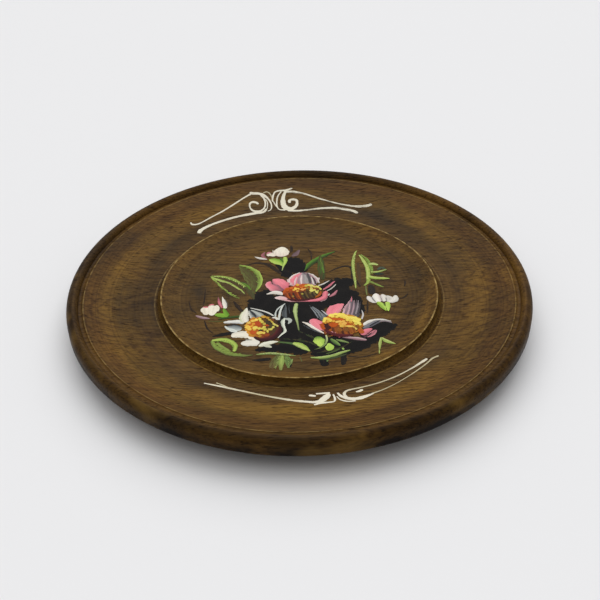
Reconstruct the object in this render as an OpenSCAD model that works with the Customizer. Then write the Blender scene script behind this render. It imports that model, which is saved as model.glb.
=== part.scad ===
// A lathe-turned wooden plate with a bouquet painted in its well and a scroll painted on each
// side of its rim. The wood is one piece, and every coat of paint is a thin film lying on it.
// Origin: centre of the flat foot, +Z up, +Y towards the top of the painting.

/* [Plate] */
// Diameter over the rounded lip
plate_d = 250; // [200:1:320]
// Height from the foot to the crest of the lip
plate_h = 20; // [18:0.5:30]
// Diameter of the flat foot
foot_d = 124; // [90:1:140]
// Height of the underside of the lip above the foot
lip_under_h = 8.6; // [7:0.2:9.2]

/* [Well] */
// Diameter of the sharp edge of the raised ring round the well
well_d = 149.8; // [140:0.2:160]
// Diameter of the flat floor of the well
floor_d = 116; // [100:1:124]
// Height of the floor of the well above the foot
floor_h = 12.1; // [10.5:0.1:13]
// Height of the edge of the ring above the floor of the well
ring_rise = 3.4; // [2:0.1:4]

/* [Rim] */
// Width of the hollow that falls from the ring to the rim
cove_w = 3.5; // [3:0.1:6]
// Depth of that hollow under the edge of the ring
cove_drop = 3.7; // [3:0.1:4.4]
// Rise of the rim from the hollow to its outer edge
rim_rise = 5.8; // [4:0.1:7]
// Width of the lip outside the edge of the rim
lip_w = 8.8; // [7:0.1:11]

/* [Paint] */
// Thickness of the paint film
paint_t = 0.25; // [0.15:0.05:0.5]
// Size of the bouquet as a share of the floor of the well
bouquet_fill = 1; // [0.7:0.05:1]
// Size of the scrolls as a share of the width of the rim
scroll_fill = 1; // [0.7:0.05:1.05]

/* [Hidden] */

TURN_FN = 180;          // facets that only show how round the turned surfaces are
ARC_STEP = 3.2;         // longest straight piece of a turned curve
RIM_STEP = 7.4;         // the same on the rim, which is nearly straight
SPAN_STEPS = 3;         // points put into a brush stroke between two of its own
EDGE = 0.5;             // width of the blunted edge on the ring and on the rim
DRAWN_FLOOR_R = 58;     // floor radius that the bouquet's points are drawn for
DRAWN_RIM_W = 37.8;     // rim width that the scrolls' points are drawn for
DRAWN_RIM_MID = 97.3;   // middle radius of the rim that they are drawn for

plate_r = plate_d / 2;
ring_r = well_d / 2;
floor_r = floor_d / 2;
ring_h = floor_h + ring_rise;
rim_in_r = ring_r + cove_w;
rim_in_h = ring_h - cove_drop;
rim_out_r = plate_r - lip_w;
rim_out_h = rim_in_h + rim_rise;
rim_w = rim_out_r - rim_in_r;
rim_mid = (rim_out_r + rim_in_r) / 2;
scroll_scale = scroll_fill * rim_w / DRAWN_RIM_W;
bouquet_scale = bouquet_fill * floor_r / DRAWN_FLOOR_R;

// ---- turned profile -------------------------------------------------------------------

// Points after p up to q on a circular arc whose direction turns by sweep degrees on the way.
function arc_to(p, q, sweep, step = ARC_STEP) =
    let (
        chord = q - p,
        len = norm(chord),
        lean = atan2(chord[1], chord[0]),
        radius = len / (2 * sin(sweep / 2)),
        steps = max(3, ceil(len / step))
    )
    [for (i = [1 : steps])
        let (a = sweep * i / steps, out = 2 * radius * sin(a / 2), dir = lean - sweep / 2 + a / 2)
        p + out * [cos(dir), sin(dir)]];

// The rim's hollow curve, from the foot of the ring to its outer edge.
function rim_curve() =
    concat([[rim_in_r, rim_in_h]],
        arc_to([rim_in_r, rim_in_h], [rim_out_r, rim_out_h], 14, RIM_STEP));

// Top of the plate from its centre to the crest of the lip.
function top_curve() =
    let (
        groove = [rim_out_r + 0.27 * lip_w, rim_out_h - 0.5],
        crest = [plate_r - 0.4 * lip_w, plate_h],
        ring_in = [ring_r - EDGE / 2, ring_h],
        ring_out = [ring_r + EDGE / 2, ring_h - 0.1],
        hollow = [rim_in_r - 0.9, rim_in_h - 0.4]
    )
    concat(
        [[0, floor_h], [floor_r, floor_h]],
        arc_to([floor_r, floor_h], ring_in, 22),
        [ring_out],
        arc_to(ring_out, hollow, 56),
        rim_curve(),
        arc_to([rim_out_r, rim_out_h], groove, 50),
        arc_to(groove, crest, -70)
    );

// The rounded lip from its crest to its underside, and the underside in to the foot.
function under_curve() =
    let (
        crest = [plate_r - 0.4 * lip_w, plate_h],
        side_top = [plate_r, plate_h - 4.4],
        side_low = [plate_r - 0.1, lip_under_h + 3],
        under = [plate_r - 0.45 * lip_w, lip_under_h],
        foot = foot_d / 2
    )
    concat(
        arc_to(crest, side_top, -80),
        [side_low],
        arc_to(side_low, under, -70),
        arc_to(under, [foot + 3, 2.6], 12),
        arc_to([foot + 3, 2.6], [foot, 0.6], 55),
        [[foot - 0.6, 0], [0, 0]]
    );

module turned_plate() {
    color("#6b4f2d")
        rotate_extrude($fn = TURN_FN)
            polygon(concat(top_curve(), under_curve()));
}

// ---- brush strokes --------------------------------------------------------------------

// A smooth run through points [x, y, half width], by a Catmull-Rom rule.
function at(p, i) = p[max(0, min(len(p) - 1, i))];
function between(a, b, c, d, t) =
    0.5 * (2 * b + (c - a) * t + (2 * a - 5 * b + 4 * c - d) * t * t
        + (3 * b - a - 3 * c + d) * t * t * t);
function run(p) =
    [for (i = [0 : len(p) - 2], k = [0 : SPAN_STEPS - (i == len(p) - 2 ? 0 : 1)])
        between(at(p, i - 1), p[i], p[i + 1], at(p, i + 2), k / SPAN_STEPS)];
function side(p, i) =
    let (d = at(p, i + 1) - at(p, i - 1), l = norm([d[0], d[1]]))
    [-d[1], d[0]] / l;

// Outline of one stroke of a brush along its points.
module stroke(points) {
    p = run(points);
    n = len(p) - 1;
    polygon(concat(
        [for (i = [0 : n]) [p[i][0], p[i][1]] + side(p, i) * max(0.08, p[i][2])],
        [for (i = [n : -1 : 0]) [p[i][0], p[i][1]] - side(p, i) * max(0.08, p[i][2])]
    ));
}

module strokes(list) {
    for (points = list)
        stroke(points);
}

// A closed patch with a smooth edge through its points.
module patch(points) {
    n = len(points);
    polygon([for (i = [0 : n - 1], k = [0 : SPAN_STEPS - 1])
        between(points[(i + n - 1) % n], points[i], points[(i + 1) % n], points[(i + 2) % n],
            k / SPAN_STEPS)]);
}

// A petal from its foot to its tip: narrow foot, full middle, and a round or a pointed tip.
module petal(foot, tip, wide, point = 0.3) {
    mid = (foot + tip) / 2;
    stroke([
        [foot[0], foot[1], wide * 0.22],
        [(foot[0] + mid[0]) / 2, (foot[1] + mid[1]) / 2, wide * 0.42],
        [mid[0], mid[1], wide * 0.5],
        [(mid[0] + tip[0]) / 2, (mid[1] + tip[1]) / 2, wide * 0.43],
        [tip[0], tip[1], wide * point]
    ]);
}

// Paint lying on the flat floor of the well.
module on_floor() {
    translate([0, 0, floor_h])
        linear_extrude(paint_t)
            scale([bouquet_scale, bouquet_scale])
                children();
}

// Paint following the hollow of the rim: the outline runs up through a skin on that curve.
module on_rim(way) {
    curve = rim_curve();
    n = len(curve) - 1;
    intersection() {
        linear_extrude(rim_out_h + 1)
            translate([0, way * rim_mid])
                scale([scroll_scale, scroll_scale])
                    translate([0, -way * DRAWN_RIM_MID])
                        children();
        rotate_extrude($fn = TURN_FN)
            polygon(concat(curve, [for (i = [n : -1 : 0]) curve[i] + [0, paint_t]]));
    }
}

// ---- scrolls on the rim ---------------------------------------------------------------

FAR = 1;
NEAR = -1;
SCROLL_WHITE = "#ebe3cf";

module far_scroll_left() {
    color(SCROLL_WHITE) on_rim(FAR) strokes([
        [[-49, 83.5, 0.5], [-48, 81.8, 0.7], [-44, 82.2, 0.6], [-36, 87.5, 0.6], [-28, 92.5, 0.6],
            [-19, 99, 0.6], [-12.5, 103.5, 0.6], [-8.5, 105.8, 1.0], [-4, 105.2, 1.1],
            [-1.2, 103, 1.2], [1, 99.5, 0.7], [1.8, 95, 0.5], [1.2, 90.5, 0.4], [-1, 87.8, 0.3]],
        [[-2.2, 103, 0.7], [-1.1, 99.5, 0.6], [-1.5, 94.5, 0.5], [-3, 90.8, 0.5], [-6, 88.6, 1.0],
            [-9.6, 89.6, 1.0], [-11.2, 92.5, 0.5], [-11, 96.4, 0.6], [-8.6, 98.2, 0.9],
            [-6.3, 96.8, 0.9], [-5.6, 95.2, 0.5]],
        [[-2.6, 90.5, 0.4], [-4.5, 87.2, 0.9], [-10, 87, 1.3], [-20, 85.6, 1.0], [-28, 83.4, 0.9],
            [-35, 81, 0.9], [-41, 77.6, 1.1], [-44.6, 74.6, 1.3], [-45, 72.6, 1.1]]
    ]);
}

module far_scroll_right() {
    color(SCROLL_WHITE) on_rim(FAR) strokes([
        [[5.2, 91, 0.4], [3.9, 96, 0.5], [4.6, 101.4, 0.5], [7, 105.2, 0.6], [11.5, 105.6, 0.7],
            [17.6, 106.2, 0.6]],
        [[10, 104.6, 0.5], [7.2, 100.5, 0.5], [5.6, 95.6, 0.5], [5.3, 90.8, 0.4], [6.6, 87.4, 0.6],
            [9.5, 86.6, 0.8]],
        [[13, 104.4, 1.0], [10.8, 100, 1.2], [9.5, 95, 1.5], [9.4, 90.5, 1.8], [11.4, 88.2, 1.7],
            [14.6, 88.2, 1.3], [17, 90.6, 0.9], [17.8, 94, 0.9], [15.6, 96, 0.8], [13.4, 95, 0.9],
            [13.2, 93, 0.7]],
        [[12.4, 103.8, 1.0], [18, 102.6, 1.0], [24, 99.4, 0.8], [32, 93, 0.8], [40, 86.8, 0.7],
            [47, 82, 0.8], [54, 79, 1.2], [61, 78.6, 1.3]],
        [[11, 86.2, 1.0], [17, 84.2, 0.8], [25, 83.7, 0.7], [33, 83.1, 0.9], [40, 81.2, 1.0],
            [46, 78, 1.0], [49.6, 75.2, 1.1], [51, 72.8, 1.1]]
    ]);
}

module near_scroll_left() {
    color(SCROLL_WHITE) on_rim(NEAR) strokes([
        [[-60, -64, 0.4], [-52, -68.4, 0.7], [-43, -73.6, 0.7], [-34.5, -78.6, 0.6],
            [-26, -83.2, 0.8], [-19, -86.6, 0.9], [-12, -89.3, 0.9], [-8, -89.6, 1.3],
            [-4.6, -87.4, 1.8], [-2.4, -84.8, 1.2]],
        [[-2, -84, 0.6], [-5.5, -83.6, 0.6], [-9, -83.2, 0.5]],
        [[-12.4, -83.7, 0.8], [-10.6, -84.3, 0.7], [-9.2, -85, 0.4]],
        [[-11.6, -91.6, 0.5], [-8, -91, 0.8], [-4.6, -91.3, 0.5], [-1.7, -91.2, 0.5],
            [-0.8, -89, 0.6], [-0.8, -85.4, 0.5]]
    ]);
}

module near_scroll_right() {
    color(SCROLL_WHITE) on_rim(NEAR) strokes([
        [[1.4, -84.8, 0.4], [2.6, -88, 0.9], [5.4, -90.6, 1.1], [9, -91.8, 1.2], [13, -91.4, 1.2],
            [18, -90, 0.4]],
        [[0.4, -87.4, 0.3], [1.6, -90.6, 0.4], [4.6, -92.8, 0.5], [8.6, -93.4, 0.5]],
        [[4.8, -89.4, 0.8], [4.4, -86.6, 0.8], [5.8, -84.6, 0.6], [8.6, -83.8, 0.6],
            [14, -83.4, 0.5], [23, -82, 0.5], [33, -79, 0.5], [42, -75.4, 0.5], [50, -71.6, 0.6],
            [57, -69, 0.4]],
        [[10.2, -86.3, 0.5], [12.2, -86.1, 0.8], [14, -85.2, 0.8]]
    ]);
}

// ---- flowers --------------------------------------------------------------------------

PINK = "#e07f86";
WHITE = "#e8e4d4";
GOLD = "#c9891f";
LIME = "#a8c552";
DARK_GREEN = "#3f5f2a";

module upper_centre_2d() {
    translate([1.7, 0.6]) scale([10.8, 7.8]) circle(r = 1, $fn = 32);
}
module upper_petals_2d() {
    petal([4.6, 3], [4.8, 19], 17.4, 0.25);
    petal([-4, 3.5], [-12, 16.2], 9, 0.25);
    petal([-6, 2.5], [-15.2, 10.6], 8, 0.3);
    petal([-7, 1.6], [-17.2, 3.2], 4.4, 0.05);
    strokes([
        [[-13.6, -1, 0.6], [-9, -3.8, 2.1], [-4, -7, 1.4], [2, -8.8, 1.1], [9, -8.6, 1.8],
            [13.4, -6, 1.8], [16, -2.2, 1.3]],
        [[12, 4.8, 0.4], [15, 6.6, 0.6], [18.4, 8, 0.3]],
        [[12.5, 0.8, 0.5], [17.4, 3.4, 1.1], [21.6, 6.8, 0.2]],
        [[14.5, -7.6, 0.4], [17.6, -4.8, 1.4], [20.8, -1.8, 0.3]]
    ]);
}
module upper_flower_petals() {
    color(PINK) on_floor() difference() {
        upper_petals_2d();
        upper_centre_2d();
    }
}
module upper_flower_centre() {
    color(GOLD) on_floor() upper_centre_2d();
}

module white_centre_2d() {
    translate([-24.7, -26.2]) scale([9.3, 10]) circle(r = 1, $fn = 32);
}
module white_petals_2d() {
    patch([[-35, -18], [-33, -12.5], [-30.4, -6.9], [-25.6, -9], [-20, -12.6], [-15.6, -19.6],
        [-24, -24]]);
    petal([-17, -22], [-9.8, -8], 5.4, 0.08);
    petal([-32.5, -19.5], [-43.4, -17.4], 4.4, 0.3);
    petal([-32, -22.6], [-42.6, -23], 5.4, 0.32);
    petal([-31, -29.8], [-41.4, -30.2], 7, 0.34);
    petal([-29, -33.4], [-36.8, -38.2], 7.4, 0.36);
    petal([-29, -40.8], [-20, -38.6], 4.4, 0.15);
    stroke([[-10.2, -22, 1.2], [-13, -25.6, 1.3], [-13.6, -30, 0.9], [-16.6, -33.6, 0.4]]);
}
module white_flower_petals() {
    color(WHITE) on_floor() difference() {
        white_petals_2d();
        white_centre_2d();
    }
}
module white_flower_centre() {
    color(GOLD) on_floor() white_centre_2d();
}

module lower_centre_2d() {
    translate([16.2, -32.6]) rotate(-14) scale([11.2, 9.9]) circle(r = 1, $fn = 32);
}
module lower_petals_2d() {
    patch([[10, -24], [13, -18.6], [19, -15], [24.4, -15.2], [26.6, -10.8], [27.6, -16],
        [29.4, -22.6], [27.4, -30], [18, -28]]);
    petal([9.6, -26], [3.6, -12.4], 8, 0.12);
    petal([7, -34], [0.8, -26], 7.6, 0.3);
    petal([23.6, -42.4], [32.2, -40.6], 5.6, 0.24);
    strokes([
        [[26.4, -36.6, 1.4], [31, -33.8, 2.1], [36, -32.8, 1.2], [41, -34, 0.4]],
        [[6, -37, 0.5], [10, -39.6, 1.1], [14.6, -43, 0.9], [20, -45.2, 0.9], [25.4, -47.6, 0.4]]
    ]);
}
module lower_flower_petals() {
    color(PINK) on_floor() difference() {
        lower_petals_2d();
        lower_centre_2d();
    }
}
module lower_flower_centre() {
    color(GOLD) on_floor() lower_centre_2d();
}

// ---- buds -----------------------------------------------------------------------------

module top_bud_petals_2d() {
    patch([[-10.6, 40.4], [-7, 42.6], [-4.4, 45.4], [-0.6, 47], [2.4, 45], [2.8, 41], [0.6, 37.8],
        [-4.6, 37], [-10, 38.4]]);
    strokes([
        [[-17.6, 40.2, 0.2], [-14.6, 38, 0.9], [-11.4, 36.4, 0.4]],
        [[3.2, 37.2, 0.4], [5.6, 38.8, 1.5], [8.6, 42, 0.5]]
    ]);
}
module top_bud_calyx_2d() {
    patch([[-10.2, 36.2], [-7.6, 36.4], [-2.6, 35.4], [-1, 36.2], [0.6, 35], [0, 31], [-2.4, 26.8],
        [-4.6, 23.6], [-4.4, 28], [-6.4, 29.6], [-9.8, 33.4]]);
}
module top_bud_petals() {
    color(WHITE) on_floor() top_bud_petals_2d();
}
module top_bud_calyx() {
    color(LIME) on_floor() top_bud_calyx_2d();
}

module left_bud_petals_2d() {
    patch([[-54.2, -5], [-53, -1.4], [-50.8, -1.6], [-48, -0.1], [-45.2, -1.2], [-45.4, -5],
        [-47.4, -8.6], [-50, -9.4], [-53, -7.8]]);
    strokes([
        [[-42.6, -4.2, 0.4], [-43.8, 0.6, 0.9], [-43.2, 6.4, 0.3]],
        [[-41.7, -4.2, 0.5], [-41.3, 1, 1.1], [-41.6, 6.8, 0.2]],
        [[-51.6, -11.2, 0.3], [-54.4, -9.8, 1.0], [-56.6, -7.2, 0.3]]
    ]);
}
module left_bud_calyx_2d() {
    patch([[-47.4, -9.2], [-45.2, -8.4], [-43.8, -8.8], [-42.9, -5.2], [-41.5, -5.2], [-40.4, -10],
        [-39.2, -12.2], [-43, -12.4]]);
    stroke([[-39.4, -12.4, 0.5], [-35, -13.6, 0.4], [-30.8, -14.6, 0.3]]);
}
module left_bud_petals() {
    color(WHITE) on_floor() left_bud_petals_2d();
}
module left_bud_calyx() {
    color(LIME) on_floor() difference() {
        left_bud_calyx_2d();
        white_petals_2d();
    }
}

module right_bud_petals_2d() {
    petal([40, -17.2], [35.2, -12], 4.2, 0.3);
    petal([41.4, -17.6], [40.4, -10.2], 5.8, 0.28);
    petal([43.4, -17.6], [44.6, -12.4], 4.4, 0.26);
    petal([44, -18.2], [49.8, -15], 5.2, 0.34);
}
module right_bud_calyx_2d() {
    patch([[39.4, -17.8], [42, -18.6], [45.2, -18], [44.6, -22.4], [42.2, -26.8], [41.2, -24],
        [40.2, -21.6]]);
}
module right_bud_petals() {
    color(WHITE) on_floor() difference() {
        right_bud_petals_2d();
        right_bud_calyx_2d();
    }
}
module right_bud_calyx() {
    color(LIME) on_floor() right_bud_calyx_2d();
}

// ---- leaves and stems -----------------------------------------------------------------

module left_leaves_2d() {
    strokes([
        [[-45, 26.8, 0.3], [-41.4, 19.4, 0.8], [-38.6, 11, 0.7], [-32.4, 2.6, 0.4]],
        [[-44, 26, 0.4], [-37.4, 19.6, 1.0], [-32.4, 12.6, 0.9], [-29.2, 6.6, 0.4]],
        [[-42, 25.8, 0.6], [-35.6, 22.8, 1.2], [-30, 16.6, 1.2], [-26, 10.4, 1.4], [-25.4, 3, 0.8]],
        [[-27.6, 33.6, 0.3], [-21.4, 29.6, 1.4], [-18.6, 20.6, 1.4], [-20, 11.6, 1.3],
            [-23.4, 4.4, 1.0]]
    ]);
}
module left_leaves() {
    color(LIME) on_floor() left_leaves_2d();
}

module blade_leaves_2d() {
    strokes([
        [[7.6, 20.8, 0.5], [12, 26, 1.7], [19, 31, 1.7], [28.4, 36, 0.4]],
        [[15.4, 11, 1.0], [17.4, 20, 2.4], [18.8, 28, 2.0], [19.6, 33, 0.6]]
    ]);
}
module blade_leaves() {
    color(DARK_GREEN) on_floor() difference() {
        blade_leaves_2d();
        upper_petals_2d();
    }
}

module tall_leaf_2d() {
    stroke([[32, -1.6, 0.3], [33.2, 7, 0.8], [35, 16, 0.9], [37.4, 25, 0.9], [41, 33.6, 0.2]]);
}
module tall_leaf() {
    color(LIME) on_floor() tall_leaf_2d();
}

module comb_leaf_2d() {
    strokes([
        [[41.6, 29.6, 0.4], [43.2, 24, 1.4], [42.8, 14, 1.4], [40.8, 5, 1.2], [38.6, 1.4, 0.7],
            [35.6, -0.6, 0.3]],
        [[43, 18.8, 0.5], [46, 18.6, 1.0], [48.8, 17.4, 0.5]],
        [[42, 11, 0.4], [47, 10.6, 0.8], [52.4, 11.4, 0.5]],
        [[41, 5.4, 0.6], [46, 3.8, 1.0], [51.4, 2.8, 0.4]],
        [[40, 2.6, 0.6], [43, -0.6, 0.8], [46, -4, 0.3]]
    ]);
}
module comb_leaf() {
    color(LIME) on_floor() comb_leaf_2d();
}

module curled_leaf_2d() {
    stroke([[-52.6, -31, 0.6], [-47, -31.6, 1.4], [-42.6, -35, 1.4], [-41.6, -39.6, 1.2],
        [-44, -43.4, 0.8]]);
    stroke([[-52.8, -33, 0.5], [-50, -38.8, 1.6], [-45, -44, 1.4], [-38.6, -46.6, 0.7]]);
}
module curled_leaf() {
    color(LIME) on_floor() curled_leaf_2d();
}

module skirt_leaves_2d() {
    stroke([[-36, -46.8, 0.4], [-27, -47.4, 0.8], [-20, -49.2, 0.8], [-13.6, -51.6, 0.4]]);
    petal([-19.6, -50], [-25.6, -59], 7.2, 0.16);
    petal([-18.6, -50.4], [-21.6, -62], 4.6, 0.2);
    petal([-16.6, -51.4], [-16.2, -60.6], 5, 0.16);
    stroke([[-20, -39.4, 0.4], [-15, -41, 0.8], [-9.8, -43.4, 1.9], [-6.6, -47.2, 1.2],
        [-5, -50.4, 0.3]]);
}
module skirt_leaves() {
    color("#8da34e") on_floor() difference() {
        skirt_leaves_2d();
        white_petals_2d();
    }
}

module heart_leaves_2d() {
    petal([2, -47.8], [1.6, -39.6], 5.6, 0.36);
    petal([4.6, -51.6], [5.8, -45.8], 5, 0.12);
    strokes([
        [[6.2, -39.6, 0.3], [4.8, -45, 0.5], [1.6, -48.8, 0.4], [-2, -49.6, 0.2]],
        [[7.6, -43, 0.6], [9.4, -46.6, 0.9], [11.2, -49, 0.5]],
        [[10, -43.6, 0.3], [13, -45.2, 0.8], [16, -47.2, 0.3]],
        [[-5, -55.6, 0.4], [0.6, -56.9, 0.9], [7, -56.4, 1.0], [15, -54.2, 0.4]]
    ]);
}
module heart_leaves() {
    color(LIME) on_floor() difference() {
        heart_leaves_2d();
        lower_petals_2d();
    }
}

module sprig_leaves_2d() {
    stroke([[33, -48, 0.7], [30.6, -53.4, 0.7], [28, -61, 0.4]]);
    stroke([[33.4, -48.6, 0.8], [36, -52.4, 0.8], [38.8, -55.6, 0.3]]);
}
module sprig_leaves() {
    color(LIME) on_floor() sprig_leaves_2d();
}

module centre_stem_2d() {
    stroke([[-3.6, -10.6, 0.7], [-5.6, -17, 1.0], [-6, -24, 0.6], [-6.8, -31, 0.3]]);
}
module centre_stem() {
    color(LIME) on_floor() difference() {
        centre_stem_2d();
        upper_petals_2d();
    }
}

module greenery_2d() {
    left_leaves_2d();
    blade_leaves_2d();
    tall_leaf_2d();
    skirt_leaves_2d();
    heart_leaves_2d();
    centre_stem_2d();
    sprig_leaves_2d();
    comb_leaf_2d();
}

module flowers_2d() {
    upper_petals_2d();
    upper_centre_2d();
    white_petals_2d();
    white_centre_2d();
    lower_petals_2d();
    lower_centre_2d();
    top_bud_petals_2d();
    top_bud_calyx_2d();
    left_bud_petals_2d();
    left_bud_calyx_2d();
    right_bud_petals_2d();
    right_bud_calyx_2d();
}

// ---- black ground and twigs -----------------------------------------------------------

module ground_2d() {
    patch([[-28, -7], [-24.4, 1], [-18.4, 9.4], [-13, 6], [-9, -8], [-17, -18], [-24, -14]]);
    patch([[-7, 31], [-1, 34.6], [5.4, 34.6], [9.6, 28], [11, 22], [5, 17], [-4, 17], [-6, 22]]);
    patch([[11, 4], [19, 8.6], [29, 9.8], [32, 3], [31, -8], [30.4, -20], [28, -26], [16, -18],
        [8, -16], [9, -6]]);
    patch([[-10, -6], [6, -8], [12, -16], [6, -26], [4, -38], [6, -50], [-4, -54.4], [-8, -46],
        [-18, -36], [-12, -24]]);
    patch([[-31, -42], [-19, -40], [-7, -45], [-5, -53], [-13, -52.4], [-22, -48], [-30, -45.6]]);
    patch([[5, -40], [16, -46], [28, -41], [36, -34], [43.6, -37], [43, -41.6], [34, -46],
        [27, -53], [18, -56], [4, -54.4], [-5, -54]]);
    patch([[-2.4, -58], [2.8, -58.4], [1.6, -63.4], [-1.8, -64.4]]);
    patch([[8.8, -57.4], [12.6, -56.8], [10.8, -64.6], [8, -66]]);
    patch([[-51.4, -26.2], [-46, -25.2], [-39.6, -25.6], [-38.4, -27.6], [-44, -28.4],
        [-50, -28]]);
    patch([[-35, -51], [-30, -50.8], [-25, -50.8], [-25.4, -53], [-30, -53.2]]);
    patch([[38.6, -1], [41, -1.4], [41.4, -5], [39.6, -9.6], [37.6, -7]]);
}
module black_ground() {
    color("#1d1b1c") on_floor() difference() {
        ground_2d();
        greenery_2d();
        flowers_2d();
    }
}

module twigs_2d() {
    strokes([
        [[-24, 33, 0.4], [-18, 34.4, 0.7], [-12, 31.6, 0.7], [-8, 25, 0.8]],
        [[34, -1.4, 0.8], [32.6, 8, 1.0], [34.2, 17.6, 0.8], [31, 20, 0.6], [25, 18.6, 0.5],
            [21, 16.4, 0.3]],
        [[-50, 15, 0.3], [-51.4, 6, 0.5], [-52.6, 0.6, 0.3]],
        [[-59.4, 6, 0.3], [-59.6, -1, 0.5], [-57.6, -5.4, 0.3]],
        [[-53.6, -12.8, 0.4], [-53.2, -20, 0.6], [-50.8, -24.6, 0.3]],
        [[12, 44, 0.2], [15, 39, 0.4], [13.4, 31, 0.3]],
        [[47.4, -10.4, 0.3], [53, -13, 0.4], [56, -7, 0.3]],
        [[13, -58.6, 0.3], [20, -61.6, 0.5], [27, -60.6, 0.3]]
    ]);
}
module dark_twigs() {
    color("#2c2320") on_floor() difference() {
        twigs_2d();
        ground_2d();
        greenery_2d();
        flowers_2d();
    }
}

turned_plate();
black_ground();
far_scroll_left();
far_scroll_right();
near_scroll_left();
near_scroll_right();
upper_flower_petals();
upper_flower_centre();
white_flower_petals();
white_flower_centre();
lower_flower_petals();
lower_flower_centre();
top_bud_petals();
top_bud_calyx();
left_bud_petals();
left_bud_calyx();
right_bud_petals();
right_bud_calyx();
left_leaves();
blade_leaves();
tall_leaf();
comb_leaf();
curled_leaf();
skirt_leaves();
heart_leaves();
sprig_leaves();
centre_stem();
dark_twigs();
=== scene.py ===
import bpy
import math
import random
import numpy as np
from mathutils import Matrix, Vector


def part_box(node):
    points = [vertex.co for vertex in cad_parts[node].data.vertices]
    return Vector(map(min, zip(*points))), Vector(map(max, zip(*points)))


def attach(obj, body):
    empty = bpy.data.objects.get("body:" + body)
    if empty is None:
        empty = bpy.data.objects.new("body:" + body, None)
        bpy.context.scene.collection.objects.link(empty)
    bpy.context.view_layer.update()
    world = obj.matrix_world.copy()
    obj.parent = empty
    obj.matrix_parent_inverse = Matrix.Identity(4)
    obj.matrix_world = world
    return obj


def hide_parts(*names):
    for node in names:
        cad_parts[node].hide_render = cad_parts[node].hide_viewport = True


bpy.ops.object.select_all(action="DESELECT")
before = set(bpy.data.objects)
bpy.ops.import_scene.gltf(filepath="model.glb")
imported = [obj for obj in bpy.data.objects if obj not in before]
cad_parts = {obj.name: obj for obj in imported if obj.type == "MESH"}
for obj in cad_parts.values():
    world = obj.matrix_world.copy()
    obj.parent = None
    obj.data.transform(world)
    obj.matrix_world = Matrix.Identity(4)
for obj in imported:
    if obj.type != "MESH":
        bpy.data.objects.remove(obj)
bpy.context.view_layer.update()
bpy.ops.object.select_all(action="DESELECT")


# ---- The plate ---------------------------------------------------------------------------
# One piece of dark hardwood, turned on a lathe from a flat-sawn board: a flat foot, an underside
# that rises to a rounded lip with a groove inside it, a hollow rim, and a raised ring that falls
# to a shallow well. Its profile is drawn once and spun about the axis of the lathe.
MM = 0.001  # metres in a millimetre; profile points and brush paths are in millimetres
plate_low, plate_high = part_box("turned_plate")
PLATE_R = plate_high.x / MM
PLATE_H = plate_high.z / MM
FLOOR_R, FLOOR_H = 58.0, 12.1
RING_R, RING_H = 74.9, 15.5
RIM_IN_R, RIM_IN_H = 78.4, 11.8
RIM_OUT_R, RIM_OUT_H = 116.2, 17.6
LIP_UNDER_H = 8.6
FOOT_R = 62.0
TURNS = 256  # steps round the axis


def arc(start, end, sweep, step=1.0):
    """Points after start up to end on an arc whose direction turns by sweep degrees on the way."""
    run, rise = end[0] - start[0], end[1] - start[1]
    chord = math.hypot(run, rise)
    lean = math.atan2(rise, run)
    turn = math.radians(sweep)
    count = max(4, round(chord / step))
    points = []
    for i in range(1, count + 1):
        part = turn * i / count
        reach = chord * math.sin(part / 2) / math.sin(turn / 2)
        way = lean - turn / 2 + part / 2
        points.append((start[0] + reach * math.cos(way), start[1] + reach * math.sin(way)))
    return points


def plate_profile():
    """The outline from the middle of the well, over the lip, to the middle of the foot. Each
    point carries a darkening factor for the wood there: under 1 the wood is worn pale, over 1 it is
    darker, as painted shade in the groove, the hollow and on the lip, darkest under the lip, mixed
    with pooled wood dye."""
    ring_in = (RING_R - 0.25, RING_H)
    ring_out = (RING_R + 0.25, RING_H - 0.1)
    hollow = (RIM_IN_R - 0.9, RIM_IN_H - 0.4)
    rim_in, rim_out = (RIM_IN_R, RIM_IN_H), (RIM_OUT_R, RIM_OUT_H)
    lip = PLATE_R - RIM_OUT_R
    groove = (RIM_OUT_R + 0.27 * lip, RIM_OUT_H - 0.5)
    crest = (PLATE_R - 0.4 * lip, PLATE_H)
    side_top, side_low = (PLATE_R, PLATE_H - 4.4), (PLATE_R - 0.1, LIP_UNDER_H + 3)
    under = (PLATE_R - 0.45 * lip, LIP_UNDER_H)
    shoulder, heel = (FOOT_R + 3, 2.6), (FOOT_R, 0.6)
    # The second number of each leg is its darkening factor; the values over 1 are painted shade, heaviest
    # on the side and underside of the lip.
    legs = [
        ([(0.0, FLOOR_H)], 1.0),
        ([(FLOOR_R * i / 16, FLOOR_H) for i in range(1, 17)], 1.0),
        (arc((FLOOR_R, FLOOR_H), ring_in, 22, 0.9)[:-1], 1.25),
        ([ring_in, ring_out], 0.15),
        (arc(ring_out, hollow, 56, 0.4), 1.35),
        ([rim_in], 0.5),
        (arc(rim_in, rim_out, 14, 1.2)[:-1], 1.0),
        ([rim_out], 0.42),
        (arc(rim_out, groove, 50, 0.3), 1.15),
        (arc(groove, crest, -70, 0.4), 1.35),
        (arc(crest, side_top, -80, 0.4), 2.0),
        ([side_low], 3.0),
        (arc(side_low, under, -70, 0.4), 3.0),
        (arc(under, shoulder, 12, 2.0), 1.3),
        (arc(shoulder, heel, 55, 0.5), 1.5),
        ([(FOOT_R - 0.6, 0.0)], 1.0),
        ([((FOOT_R - 0.6) * i / 10, 0.0) for i in range(9, -1, -1)], 1.0),
    ]
    return [(r, z, stain_and_shade) for points, stain_and_shade in legs for r, z in points]


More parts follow.
